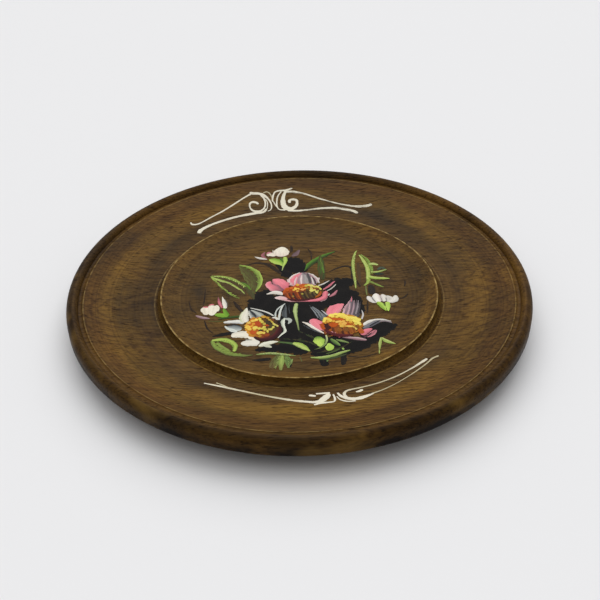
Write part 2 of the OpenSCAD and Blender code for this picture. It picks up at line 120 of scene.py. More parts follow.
def spun_plate():
    """The profile is drawn point by point as an edge and spun once round."""
    outline = plate_profile()
    bpy.ops.mesh.primitive_plane_add(size=MM, location=(0, 0, 0))
    plate = bpy.context.object
    bpy.ops.object.mode_set(mode="EDIT")
    bpy.ops.mesh.merge(type="CENTER")
    bpy.ops.transform.translate(value=(0, 0, outline[0][1] * MM))
    for (r0, z0, _), (r1, z1, _) in zip(outline, outline[1:]):
        step = {"value": ((r1 - r0) * MM, 0, (z1 - z0) * MM)}
        bpy.ops.mesh.extrude_region_move(TRANSFORM_OT_translate=step)
    bpy.ops.mesh.select_all(action="SELECT")
    bpy.ops.mesh.spin(steps=TURNS, angle=2 * math.pi, center=(0, 0, 0), axis=(0, 0, 1))
    bpy.ops.mesh.select_all(action="SELECT")
    bpy.ops.mesh.remove_doubles(threshold=0.002 * MM)
    bpy.ops.mesh.normals_make_consistent(inside=False)
    bpy.ops.object.mode_set(mode="OBJECT")
    bpy.ops.object.shade_smooth_by_angle(angle=math.radians(28))
    held = plate.data.attributes.new("stain_and_shade", "FLOAT", "POINT")
    flat = np.array([(r * MM, z * MM) for r, z, _ in outline])
    stain_and_shade_by_point = np.array([s for _, _, s in outline])
    co = np.array([v.co for v in plate.data.vertices])
    rz = np.stack([np.hypot(co[:, 0], co[:, 1]), co[:, 2]], 1)
    nearest = ((rz[:, None] - flat[None]) ** 2).sum(2).argmin(1)
    held.data.foreach_set("value", stain_and_shade_by_point[nearest].astype(np.float32))
    plate.name = "plate_wood"
    plate.data.name = "plate_wood"
    return plate


def linear(hex_colour, alpha=1.0):
    """A colour as Blender's shaders want it, from its usual six-figure name."""
    parts = [int(hex_colour[i:i + 2], 16) / 255 for i in (1, 3, 5)]
    return [c / 12.92 if c <= 0.04045 else ((c + 0.055) / 1.055) ** 2.4 for c in parts] + [alpha]


class Tree:
    """A material's node tree, with short calls to add a node and join it up."""

    def __init__(self, name):
        self.material = bpy.data.materials.new(name)
        self.material.use_nodes = True
        self.nodes = self.material.node_tree.nodes
        self.links = self.material.node_tree.links
        self.shader = self.nodes["Principled BSDF"]

    def add(self, kind, settings=None, **inputs):
        made = self.nodes.new(kind)
        for key, value in (settings or {}).items():
            setattr(made, key, value)
        for key, value in inputs.items():
            self.put(made.inputs[key.replace("_", " ")], value)
        return made

    def put(self, socket, value):
        if isinstance(value, bpy.types.NodeSocket):
            self.links.new(value, socket)
        else:
            socket.default_value = value

    def math(self, operation, *values):
        made = self.nodes.new("ShaderNodeMath")
        made.operation = operation
        for socket, value in zip(made.inputs, values):
            self.put(socket, value)
        return made.outputs[0]

    def mix(self, blend, factor, first, second):
        made = self.nodes.new("ShaderNodeMix")
        made.data_type = "RGBA"
        made.blend_type = blend
        self.put(made.inputs["Factor"], factor)
        self.put(made.inputs["A"], first)
        self.put(made.inputs["B"], second)
        return made.outputs["Result"]

    def ramp(self, value, stops):
        made = self.nodes.new("ShaderNodeValToRGB")
        self.links.new(value, made.inputs["Fac"])
        held = made.color_ramp.elements
        while len(held) < len(stops):
            held.new(1.0)
        for element, (place, colour) in zip(held, stops):
            element.position = place
            element.color = colour if len(colour) == 4 else (*colour, 1.0)
        return made.outputs["Color"]

    def spread(self, value, low, high, new_low=0.0, new_high=1.0):
        made = self.nodes.new("ShaderNodeMapRange")
        made.inputs["From Min"].default_value = low
        made.inputs["From Max"].default_value = high
        made.inputs["To Min"].default_value = new_low
        made.inputs["To Max"].default_value = new_high
        self.links.new(value, made.inputs["Value"])
        return made.outputs["Result"]

    def stretched(self, vector, along, across, depth, shift=(0, 0, 0)):
        """vector drawn out so that one unit is 1 / along metres on the first axis, and so on."""
        made = self.nodes.new("ShaderNodeMapping")
        made.inputs["Scale"].default_value = (along, across, depth)
        made.inputs["Location"].default_value = shift
        self.links.new(vector, made.inputs["Vector"])
        return made.outputs["Vector"]

    def noise(self, vector, detail=3.0, rough=0.5, scale=1.0, warp=0.0):
        made = self.nodes.new("ShaderNodeTexNoise")
        made.inputs["Scale"].default_value = scale
        made.inputs["Detail"].default_value = detail
        made.inputs["Roughness"].default_value = rough
        made.inputs["Distortion"].default_value = warp
        self.links.new(vector, made.inputs["Vector"])
        return made.outputs["Fac"]


GRAIN_TURN = math.radians(11)  # the grain runs a little off the painting's level
PITH_SIDE = 0.012   # metres from the plate's axis to the pith of the tree, across the grain
PITH_DEEP = 0.085   # metres from the foot down to the pith
YEAR_WIDE = 0.0019  # metres from one year ring to the next
WOOD_SHINE = 0.07   # specular level of the dull lacquer
PAINT_SHINE = 0.05  # specular level of the dried paint


def lacquered_wood():
    """Stained, open-pored hardwood under a thin dull lacquer. Year rings are shells about a pith
    far under the board, so the turned slopes cut them into the lines of flat-sawn wood, and the
    colour lies in soft bands round the plate, as it was rubbed on while the plate turned. Rings
    of painted sheen and painted shade run round the axis, and painted shade darkens the hollows,
    the lip and its underside."""
    t = Tree("lacquered_wood")
    place = t.add("ShaderNodeTexCoord").outputs["Object"]
    turned = t.nodes.new("ShaderNodeMapping")
    turned.inputs["Rotation"].default_value = (0, 0, GRAIN_TURN)
    t.links.new(place, turned.inputs["Vector"])
    grain = turned.outputs["Vector"]

    sway = t.noise(t.stretched(grain, 10, 26, 26), detail=2.0)
    ripple = t.noise(t.stretched(grain, 90, 300, 300), detail=3.0, rough=0.6)
    parts = t.add("ShaderNodeSeparateXYZ", Vector=grain)
    across = t.math("ADD", parts.outputs["Y"], PITH_SIDE)
    deep = t.math("ADD", parts.outputs["Z"], PITH_DEEP)
    squared = t.math("ADD", t.math("MULTIPLY", across, across), t.math("MULTIPLY", deep, deep))
    radius = t.math("SQRT", squared)
    radius = t.math("ADD", radius, t.math("MULTIPLY", sway, 0.03))
    radius = t.math("ADD", radius, t.math("MULTIPLY", ripple, 0.0022))
    year = t.math("FRACT", t.math("MULTIPLY", radius, 1 / YEAR_WIDE))
    late = t.ramp(year, [(0.0, (0.2,) * 3), (0.5, (0.1,) * 3), (0.85, (1.0,) * 3),
                         (1.0, (0.2,) * 3)])

    flat = t.add("ShaderNodeVectorMath", {"operation": "MULTIPLY"})
    t.links.new(place, flat.inputs[0])
    flat.inputs[1].default_value = (1, 1, 0)
    outward = t.add("ShaderNodeVectorMath", {"operation": "LENGTH"})
    t.links.new(flat.outputs[0], outward.inputs[0])
    heading = t.add("ShaderNodeVectorMath", {"operation": "NORMALIZE"})
    t.links.new(flat.outputs[0], heading.inputs[0])
    round_about = t.add("ShaderNodeVectorMath", {"operation": "MULTIPLY_ADD"})
    t.links.new(heading.outputs[0], round_about.inputs[0])
    round_about.inputs[1].default_value = (0.9, 0.9, 0.9)
    lifted = t.add("ShaderNodeCombineXYZ")
    t.put(lifted.inputs["Z"], t.math("MULTIPLY", outward.outputs["Value"], 70))
    t.links.new(lifted.outputs["Vector"], round_about.inputs[2])
    bands = t.noise(round_about.outputs[0], detail=3.0, rough=0.55)

    fibre = t.noise(t.stretched(grain, 70, 1300, 1300), detail=4.0, rough=0.65)
    streak = t.noise(t.stretched(grain, 34, 480, 480), detail=4.0, rough=0.6)
    blotch = t.noise(t.stretched(grain, 16, 34, 34), detail=3.0, rough=0.55)
    lines_here = t.noise(t.stretched(place, 28, 28, 28, (0.3, 0, 0)), detail=2.0)
    pores = t.spread(t.noise(t.stretched(grain, 210, 1400, 1400), detail=1.0), 0.57, 0.68)
    long_pores = t.spread(t.noise(t.stretched(grain, 110, 1100, 1100), detail=2.0), 0.57, 0.68)

    tone = t.math("ADD", t.math("MULTIPLY", blotch, 0.45), t.math("MULTIPLY", bands, 0.55))
    body = t.ramp(tone, [(0.34, linear("#4a391f")), (0.46, linear("#644b1f")),
                         (0.56, linear("#735625")), (0.68, linear("#836429"))])
    uneven = t.math("MULTIPLY", t.math("SUBTRACT", sway, 0.5), 0.02)
    from_axis = t.spread(t.math("ADD", outward.outputs["Value"], uneven), 0.0, 0.125)
    # Rings round the axis are painted lighter and darker: a painted sheen on the inner slope of the raised
    # ring, painted shade, a little blue, over the hollow outside it and the inner part of the rim, a
    # painted golden highlight across the middle of the rim, and darker again toward the lip.
    sheen_and_shade_rings = t.ramp(from_axis, [(0.0, (0.8, 0.8, 0.8)), (0.54, (0.82, 0.8, 0.78)),
                                      (0.59, (1.12, 1.08, 0.98)), (0.62, (0.7, 0.67, 0.66)),
                                      (0.7, (0.6, 0.58, 0.63)),
                                      (0.76, (1.0, 0.97, 0.82)), (0.82, (1.06, 1.03, 0.88)),
                                      (0.87, (0.7, 0.61, 0.58)), (0.95, (0.84, 0.78, 0.74))])
    body = t.mix("MULTIPLY", 1.0, body, sheen_and_shade_rings)
    turning = t.add("ShaderNodeCombineXYZ", X=t.math("MULTIPLY", outward.outputs["Value"], 900))
    tool_marks = t.noise(turning.outputs["Vector"], detail=3.0, rough=0.7)
    body = t.mix("MULTIPLY", t.spread(tool_marks, 0.45, 0.7, 0.0, 0.6), body, linear("#a58d70"))
    ringed = t.math("MULTIPLY", late, t.spread(lines_here, 0.42, 0.6, 0.05, 0.6))
    body = t.mix("MULTIPLY", ringed, body, linear("#8a7050"))
    body = t.mix("MULTIPLY", t.spread(streak, 0.45, 0.7, 0.0, 0.5), body, linear("#97795a"))
    body = t.mix("OVERLAY", 0.5, body, t.ramp(fibre, [(0.25, (0.25,) * 3), (0.75, (0.75,) * 3)]))
    body = t.mix("MULTIPLY", t.math("MULTIPLY", pores, 0.6), body, linear("#4b3b2c"))
    body = t.mix("MULTIPLY", t.math("MULTIPLY", long_pores, 0.4), body, linear("#5c4936"))

    # The darkening factor spun in with the profile: over 1 it lays painted shade, broken into patches,
    # over the groove, the hollow, the lip and most of all the lip's underside, mixed with pooled dye;
    # under 1 the edges are worn pale.
    stain_and_shade = t.add("ShaderNodeAttribute", {"attribute_name": "stain_and_shade"}).outputs["Fac"]
    shade_blotches = t.noise(t.stretched(place, 45, 45, 45), detail=4.0, rough=0.65)
    pooled_stain_and_shade = t.math("MULTIPLY", t.spread(stain_and_shade, 1.0, 2.7), t.spread(shade_blotches, 0.36, 0.62, 0.5, 1.15))
    body = t.mix("MULTIPLY", pooled_stain_and_shade, body, linear("#443a32"))
    rubbed = t.noise(t.stretched(place, 260, 260, 260), detail=3.0, rough=0.6)
    knocks = t.noise(t.stretched(place, 26, 26, 60, (0.7, 0.2, 0)), detail=3.0, rough=0.6)
    knocked = t.math("MULTIPLY", t.spread(knocks, 0.54, 0.66), t.spread(stain_and_shade, 1.6, 1.75))
    body = t.mix("MIX", t.math("MULTIPLY", knocked, 0.3), body, linear("#8a6a32"))
    bare = t.spread(stain_and_shade, 0.75, 0.1)
    worn = t.math("MULTIPLY", bare, t.spread(rubbed, 0.4, 0.62, 0.1, 1.0))
    body = t.mix("MIX", worn, body, linear("#a98f58"))
    t.put(t.shader.inputs["Base Color"], body)

    gloss = t.math("ADD", t.spread(blotch, 0.2, 0.8, 0.42, 0.54), t.math("MULTIPLY", pores, 0.15))
    t.put(t.shader.inputs["Roughness"], gloss)
    t.shader.inputs["Specular IOR Level"].default_value = WOOD_SHINE
    height = t.math("SUBTRACT", t.math("MULTIPLY", fibre, 0.25), t.math("MULTIPLY", pores, 0.8))
    height = t.math("ADD", height, t.math("MULTIPLY", tool_marks, 0.5))
    bump = t.add("ShaderNodeBump", Height=height, Distance=0.00007, Strength=0.6)
    t.put(t.shader.inputs["Normal"], bump.outputs["Normal"])
    return t.material


plate = spun_plate()
plate.data.materials.append(lacquered_wood())
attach(plate, "root")
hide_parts("turned_plate")


# ---- The scroll on the far side of the rim -----------------------------------------------
# Two mirrored runs of cream paint, drawn freehand with a round brush. Each stroke is a thin
# film: it starts as a flat grid, is drawn out along the brush's path, settles on the turned
# wood and gets its thickness. Paths are x, y and half the stroke's width, in millimetres.
films = []
CLEAR = 30.0  # height over the foot at which a stroke is drawn before it is let down
COAT = 0.06   # what one coat of paint adds in height
CROWN = 0.05  # how much higher a stroke is along its middle
RIDGE = 0.02  # height of the marks that the bristles leave
PHASE = 6.3   # about a full turn in radians, for waves that start anywhere


def smooth_run(points, spots):
    """The path through points at spots, from 0 to 1 along it, by a Catmull-Rom rule."""
    p = np.array(points, float)
    ends = np.vstack([2 * p[0] - p[1], p, 2 * p[-1] - p[-2]])
    at = np.clip(np.asarray(spots) * (len(p) - 1), 0, len(p) - 1 - 1e-9)
    i = at.astype(int)
    f = (at - i)[:, None]
    a, b, c, d = ends[i], ends[i + 1], ends[i + 2], ends[i + 3]
    return 0.5 * (2 * b + (c - a) * f + (2 * a - 5 * b + 4 * c - d) * f ** 2
                  + (3 * b - a - 3 * c + d) * f ** 3)


def shades_across(colours, t):
    """The colour at t, from 1 on the left of the stroke, seen along it, to -1 on its right."""
    table = np.array([linear(c) for c in colours])
    if len(table) == 1:
        return np.repeat(table, len(t), 0)
    at = np.clip((1 - t) / 2 * (len(table) - 1), 0, len(table) - 1 - 1e-6)
    i = at.astype(int)
    f = (at - i)[:, None]
    return table[i] * (1 - f) + table[i + 1] * f


def stroke(points, colours, coat=1, foot=None, tip=None, dry=0.0, ragged=0.05):
    """Lays one brush stroke. colours run across it from its left to its right; foot and tip are
    what it fades to at its two ends. coat counts the coats from the wood up, and dry is how much
    of the ground shows through, from 0 to 1."""
    if isinstance(colours, str):
        colours = [colours]
    # The seed comes from the stroke itself, so it is the same on every run.
    hand = random.Random(len(films) * 7919 + len(points) * 31 + round(points[0][0] * 10))
    wide = max(p[2] for p in points)
    line = smooth_run(points, np.linspace(0, 1, 60))
    length = np.hypot(*np.diff(line[:, :2], axis=0).T).sum()
    rows = int(np.clip(length / 0.5, 8, 64))
    cols = int(np.clip(wide * 2 / 0.4, 4, 22))
    bpy.ops.mesh.primitive_grid_add(x_subdivisions=rows, y_subdivisions=cols, size=1)
    film = bpy.context.object
    co = np.array([v.co for v in film.data.vertices])
    u, t = co[:, 0] + 0.5, co[:, 1] * 2
    s = 0.4 * u + 0.6 * (1 - np.cos(np.pi * u)) / 2
    here = smooth_run(points, s)
    ahead = smooth_run(points, np.clip(s + 0.004, 0, 1))
    behind = smooth_run(points, np.clip(s - 0.004, 0, 1))
    way = ahead[:, :2] - behind[:, :2]
    way /= np.maximum(np.hypot(*way.T), 1e-9)[:, None]
    half = np.maximum(here[:, 2], 0.06)
    from_end = np.minimum(s, 1 - s) * length / np.maximum(half, 0.12)
    round_off = np.sqrt(np.clip(1 - (1 - np.clip(from_end, 0, 1)) ** 2, 0.0, 1))
    wobble = ragged * sum(np.sin(s * length * k + hand.random() * PHASE) for k in (0.9, 1.7, 3.1))
    reach = half * np.maximum(round_off, 0.02) * (1 + wobble)
    x = here[:, 0] - way[:, 1] * t * reach
    y = here[:, 1] + way[:, 0] * t * reach
    ridges = sum(np.sin(t * half * f + hand.random() * PHASE + np.sin(s * length * 0.3) * 0.8)
                 for f in (4.1, 6.7, 9.3)) / 3
    dome = (1 - np.abs(t) ** 3) * (0.4 + 0.6 * round_off)
    height = COAT * coat + CROWN * dome + RIDGE * ridges * dome
    film.data.vertices.foreach_set("co", np.stack([x * MM, y * MM, np.full_like(x, CLEAR * MM)],
                                                  1).astype(np.float32).ravel())
    rise = film.data.attributes.new("rise", "FLOAT", "POINT")
    rise.data.foreach_set("value", height.astype(np.float32))
    shade = shades_across(colours, t)
    for end, spot in ((foot, s), (tip, 1 - s)):
        if end:
            near = np.clip(1 - spot / 0.5, 0, 1)[:, None] ** 1.2
            shade = shade * (1 - near) + np.array(linear(end)) * near
    shade[:, 3] = dry
    paint = film.data.color_attributes.new("paint", "FLOAT_COLOR", "POINT")
    paint.data.foreach_set("color", shade.astype(np.float32).ravel())
    bristle = hand.random() * 40
    loops = np.zeros(len(film.data.loops), np.int32)
    film.data.loops.foreach_get("vertex_index", loops)
    marks = np.stack([s * length * 0.1, (t * half + bristle) * 0.1], 1)[loops]
    film.data.uv_layers[0].uv.foreach_set("vector", marks.astype(np.float32).ravel())
    films.append(film)


def brushed_paint(name, ground, gloss=0.42, thirst=0.0):
    """Dried paint that keeps the marks of the brush: fine streaks along each stroke, ridges that
    catch the light, and gaps where the brush ran dry and the ground shows through."""
    t = Tree(name)
    held = t.add("ShaderNodeAttribute", {"attribute_name": "paint"})
    marks = t.add("ShaderNodeUVMap", {"uv_map": "UVMap"}).outputs["UV"]
    fine = t.noise(t.stretched(marks, 2.2, 34, 1), detail=3.0, rough=0.6)
    broad = t.noise(t.stretched(marks, 1.2, 12, 1, (3, 5, 0)), detail=2.0)
    colour = t.mix("MULTIPLY", t.spread(fine, 0.5, 0.75, 0.0, 0.55), held.outputs["Color"],
                   (0.5, 0.48, 0.46, 1))
    colour = t.mix("MULTIPLY", t.spread(broad, 0.5, 0.8, 0.0, 0.5), colour, (0.55, 0.55, 0.56, 1))
    streaks = t.math("ADD", t.math("MULTIPLY", fine, 0.65), t.math("MULTIPLY", broad, 0.35))
    worn = t.math("MULTIPLY_ADD", held.outputs["Alpha"], 0.5, 0.25 + thirst)
    gaps = t.spread(t.math("SUBTRACT", worn, streaks), -0.03, 0.05, 0.0, 0.9)
    colour = t.mix("MIX", gaps, colour, linear(ground))
    t.put(t.shader.inputs["Base Color"], colour)
    t.put(t.shader.inputs["Roughness"], t.spread(fine, 0.3, 0.7, gloss - 0.06, gloss + 0.08))
    t.shader.inputs["Specular IOR Level"].default_value = PAINT_SHINE
    bump = t.add("ShaderNodeBump", Height=fine, Distance=0.00005, Strength=0.5)
    t.put(t.shader.inputs["Normal"], bump.outputs["Normal"])
    return t.material


WOOD_GROUND = "#4a3720"
BLACK_GROUND = "#110f0f"
scroll_paint = brushed_paint("scroll_paint", WOOD_GROUND)
bud_paint = brushed_paint("bud_paint", WOOD_GROUND)
leaf_paint = brushed_paint("leaf_paint", WOOD_GROUND, thirst=0.09)
flower_paint = brushed_paint("flower_paint", BLACK_GROUND)
black_paint = brushed_paint("black_paint", WOOD_GROUND, 0.5, thirst=0.02)
FILM_DEPTH = 0.6  # how far a film reaches down from its top, so that its foot is in the wood


def lay_film(name, node, material):
    """Joins the strokes laid so far into one film, lets it down on the plate and thickens it."""
    bpy.ops.object.select_all(action="DESELECT")
    for film in films:
        film.select_set(True)
    made = films[0]
    bpy.context.view_layer.objects.active = made
    if len(films) > 1:
        bpy.ops.object.join()
    films.clear()
    drop = made.modifiers.new("drop", "SHRINKWRAP")
    drop.target = plate
    drop.wrap_method = "PROJECT"
    drop.use_project_z = True
    drop.use_negative_direction = True
    drop.use_positive_direction = False
    bpy.ops.object.modifier_apply(modifier="drop")
    count = len(made.data.vertices)
    co = np.zeros(count * 3, np.float32)
    rise = np.zeros(count, np.float32)
    made.data.vertices.foreach_get("co", co)
    made.data.attributes["rise"].data.foreach_get("value", rise)
    co = co.reshape(-1, 3)
    co[:, 2] += rise * MM
    made.data.vertices.foreach_set("co", co.ravel())
    body = made.modifiers.new("body", "SOLIDIFY")
    body.thickness = FILM_DEPTH * MM
    body.offset = -1.0
    bpy.ops.object.modifier_apply(modifier="body")
    bpy.ops.object.shade_smooth_by_angle(angle=math.radians(50))
    made.name = name
    made.data.name = name
    made.data.materials.clear()
    made.data.materials.append(material)
    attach(made, "root")
    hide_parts(node)
    bpy.ops.object.select_all(action="DESELECT")
    return made


CREAM = "#e6dfca"
THIN_CREAM = "#c3b896"

stroke([(-49, 83.8, 0.4), (-48, 81.8, 0.65), (-44, 82.2, 0.5), (-36, 87.5, 0.45),
        (-28, 92.5, 0.5), (-19, 99, 0.55), (-12.5, 103.5, 0.5), (-8.5, 105.8, 0.7)], CREAM, dry=0.3)
stroke([(-9.2, 107, 0.8), (-7, 105.9, 1.0), (-4, 105.3, 1.0), (-1.6, 103.6, 1.1), (0.6, 100.6, 0.7),
        (1.9, 96, 0.45), (1.7, 91.5, 0.4), (0.6, 88.8, 0.3), (-1.4, 87.6, 0.3)], CREAM, 2)
stroke([(-2.6, 103.6, 0.7), (-1.3, 100, 0.6), (-1.5, 95, 0.5), (-2.8, 91.4, 0.45),
        (-5.2, 89, 0.7), (-8, 88.6, 1.0), (-10.4, 90.3, 0.7), (-11.3, 93.2, 0.4),
        (-10.9, 96.6, 0.6), (-9, 98.1, 0.8), (-6.8, 97.3, 0.9), (-5.8, 95.4, 0.5)], CREAM, 2)
stroke([(-0.9, 105.4, 0.4), (1.4, 106, 0.4), (3, 104, 0.35), (3.5, 100.6, 0.25), (3.1, 97.6, 0.2)],
       THIN_CREAM, dry=0.35)
stroke([(-0.4, 99.5, 0.25), (0, 96, 0.25), (-0.8, 92, 0.25), (-2.4, 88.4, 0.3), (-4.6, 86.4, 0.3)],
       CREAM, dry=0.3)
stroke([(-2, 90.4, 0.3), (-4.2, 87.4, 0.8), (-10, 87, 1.1), (-20, 85.7, 0.85), (-28, 83.6, 0.8),
        (-35, 81, 0.8), (-41, 77.8, 0.95), (-44.6, 74.8, 1.2), (-45.2, 72.6, 1.1)], CREAM, 2, dry=0.2)
lay_film("far_scroll_left_paint", "far_scroll_left", scroll_paint)

stroke([(3.1, 98.4, 0.3), (3.9, 95.6, 0.35), (4.4, 92.4, 0.3), (5.2, 89.6, 0.3)], CREAM, dry=0.35)
stroke([(3.2, 96.4, 0.4), (4.4, 101.2, 0.5), (6.4, 104.8, 0.5), (9.4, 105.6, 0.6),
        (13.4, 105.2, 0.7), (17.7, 106.3, 0.5)], CREAM, dry=0.3)
stroke([(10.4, 104.8, 0.4), (7.4, 100.8, 0.4), (5.8, 96, 0.45), (5.1, 91.4, 0.4), (6, 88, 0.4),
        (9.5, 86.8, 0.7)], CREAM, dry=0.2)
stroke([(13.2, 104.6, 0.8), (11, 100.6, 1.0), (9.6, 95.6, 1.4), (9.4, 91, 1.8), (10.8, 88, 1.8),
        (13.8, 87.4, 1.4), (16.6, 89.4, 1.0), (17.8, 92.6, 0.8), (17.6, 95, 0.9), (15.2, 96, 0.9),
        (13.5, 95, 0.9), (13.4, 93, 0.7)], CREAM, 2)
stroke([(12.2, 104.2, 0.9), (18, 102.7, 0.9), (24, 99.5, 0.6), (32, 93, 0.6), (40, 86.8, 0.5),
        (47, 82.2, 0.6), (53, 79.2, 0.95), (58, 78.3, 1.1), (61.6, 78.7, 1.0)], CREAM, dry=0.43)
stroke([(10.6, 86.4, 1.0), (13, 85.4, 1.0), (17, 84.2, 0.8), (22, 84, 0.6)], CREAM, 2, dry=0.25)
stroke([(20, 84, 0.6), (26, 83.8, 0.7), (33, 83.2, 0.85), (40, 81.4, 0.95), (46, 78, 1.0),
        (49.6, 75.4, 1.0), (51, 72.8, 0.95)], CREAM, dry=0.4)
lay_film("far_scroll_right_paint", "far_scroll_right", scroll_paint)


# ---- The scroll on the near side of the rim ----------------------------------------------
# The same cream paint in a smaller, quicker scroll: two thin arms that follow the ring, and a
# mirrored pair of hooks where they meet. The arms are thinned paint that lets some wood through.
stroke([(-61, -63.6, 0.3), (-52, -68.4, 0.6), (-43, -73.6, 0.55), (-34.5, -78.6, 0.5),
        (-26, -83.2, 0.65), (-19, -86.6, 0.75), (-12, -89.3, 0.8)], THIN_CREAM, foot=CREAM,
       tip=CREAM, dry=0.25)
stroke([(-55, -64.4, 0.3), (-52.4, -66.6, 0.35), (-49.6, -69.4, 0.3)], THIN_CREAM, dry=0.2)
stroke([(-14, -88.8, 0.6), (-11, -89.7, 0.9), (-8, -89.4, 1.3), (-5, -87.2, 1.7), (-2.4, -84.6, 1.1)],
       CREAM, 2)
stroke([(-2, -84, 0.6), (-5.5, -83.6, 0.6), (-9, -83.2, 0.5)], CREAM)
stroke([(-12.6, -83.6, 0.7), (-10.8, -84.2, 0.7), (-9.2, -85, 0.4)], CREAM)
stroke([(-11.8, -91.8, 0.4), (-8, -91, 0.7), (-4.6, -91.3, 0.5), (-1.7, -91.2, 0.45),
        (-0.8, -89, 0.5), (-0.8, -85.4, 0.4)], CREAM, dry=0.15)
lay_film("near_scroll_left_paint", "near_scroll_left", scroll_paint)

stroke([(1.4, -84.8, 0.4), (2.6, -88, 0.8), (5.4, -90.6, 1.0), (9, -91.8, 1.1), (13, -91.4, 1.1),
        (18.4, -89.8, 0.3)], CREAM, 2, dry=0.15)
stroke([(0.4, -87.4, 0.25), (1.6, -90.6, 0.35), (4.6, -92.8, 0.4), (8.6, -93.4, 0.4)], CREAM,
       dry=0.2)
stroke([(4.8, -89.4, 0.7), (4.4, -86.6, 0.75), (5.8, -84.6, 0.6), (8.6, -83.8, 0.5),
        (14, -83.4, 0.4), (23, -82, 0.4), (33, -79, 0.4), (42, -74.8, 0.45), (48, -71.4, 0.75),
        (51.4, -69.4, 0.6)], THIN_CREAM, foot=CREAM, tip=CREAM, dry=0.25)
stroke([(10.2, -86.3, 0.4), (12.2, -86.1, 0.75), (14, -85.2, 0.75)], CREAM)
stroke([(17, -89.8, 0.5), (24, -87.8, 0.3), (31, -84.8, 0.25), (39, -80.4, 0.25), (46, -76, 0.35),
        (51, -72.4, 0.4), (54, -70, 0.5), (57.6, -68.8, 0.45)], THIN_CREAM, dry=0.3)
lay_film("near_scroll_right_paint", "near_scroll_right", scroll_paint)


# ---- The black ground of the bouquet -----------------------------------------------------
# The first coat on the floor of the well: broad black strokes, dry at their edges, that the
# flowers and leaves stand out from, with a few thin twigs drawn out of them.
BLACK = BLACK_GROUND
SOOT = "#1a1715"

for path in (
        [(-30, -9.6, 1.6), (-25, -5.4, 5), (-19, 1.6, 5.6), (-14.4, 6.6, 2.6)],
        [(-25, -13.6, 2), (-18, -10, 6), (-12, -4, 6), (-9, 2, 3)],
        [(-18.6, -17.6, 1.2), (-14, -11.6, 4), (-9, -8, 3)],
        [(-7.4, 30.4, 1.6), (-2.4, 27.6, 4.4), (3.6, 25, 6.6), (8.6, 20, 4.2)],
        [(-6, 25, 1.4), (-3.6, 20, 2.6), (0, 17.6, 3)],
        [(-1, 33.6, 1.6), (3.4, 31.6, 4), (8, 28.4, 2.4)],
        [(12, 2, 3), (20, 2.6, 6), (27.4, 4.6, 5), (31.4, 6.6, 2)],
        [(10, -6, 4), (18, -7, 8), (26, -7, 7), (31, -6, 1.6)],
        [(12, -15, 4), (21, -14, 6), (28.6, -18, 3)],
        [(28.6, -4, 2.8), (29.6, -14, 2.2), (29, -25.4, 2)],
        [(-11, -9, 3), (0, -11.6, 4), (12, -11.6, 4), (17, -10, 3)],
        [(-8.6, -6, 3), (-5, -16, 7), (-3, -26, 7.5), (-2, -36, 7), (-1, -46, 6.5), (-1, -53.6, 3)],
        [(4, -8, 4), (6, -16, 5), (4, -24, 4), (2, -32, 3)],
        [(-17, -29, 4), (-13, -36, 6), (-9, -43, 5)],
        [(-14, -18, 3), (-11, -28, 5), (-8, -36, 5)],
        [(-32, -43.4, 0.8), (-26, -43.6, 2.4), (-18, -44.6, 3.8), (-11, -47.6, 4), (-6, -51, 2.6)],
        [(4, -42, 3), (12, -47.5, 6), (20, -50.5, 4.6), (28, -48, 3.4), (35, -43.4, 3),
         (41, -40, 2.2), (44.4, -38.2, 0.8)],
        [(-5, -52.6, 1.6), (6, -54, 3), (17, -54.2, 2.4), (26.6, -51.4, 1.6)],
        [(24, -46, 4), (31, -40.6, 5), (37, -37.8, 3.4), (43, -39.4, 1.8)]):
    stroke(path, [SOOT, BLACK, BLACK, SOOT], dry=0.12, ragged=0.12)
stroke([(0, -57, 1.6), (0.2, -61, 2.1), (0.4, -64.4, 1.8)], BLACK, dry=0.2)
stroke([(11, -56.6, 1.4), (10.4, -61, 1.6), (8.8, -66, 0.8)], SOOT, dry=0.3)
stroke([(-51.6, -27.4, 0.4), (-46, -26.8, 1.3), (-40, -26.6, 1.2), (-37.4, -27, 0.5)], SOOT, dry=0.2)
stroke([(-35, -51.2, 0.3), (-31, -51.8, 1.1), (-27.6, -52, 1.3), (-25.2, -51.8, 0.8)], SOOT, dry=0.3)
stroke([(-16.4, -58, 0.8), (-17.2, -61, 0.6)], SOOT, dry=0.3)
stroke([(39.8, -0.6, 1.2), (39.4, -5, 2), (38.4, -9.6, 1.4)], "#2c2622", dry=0.25)
lay_film("black_ground_paint", "black_ground", black_paint)

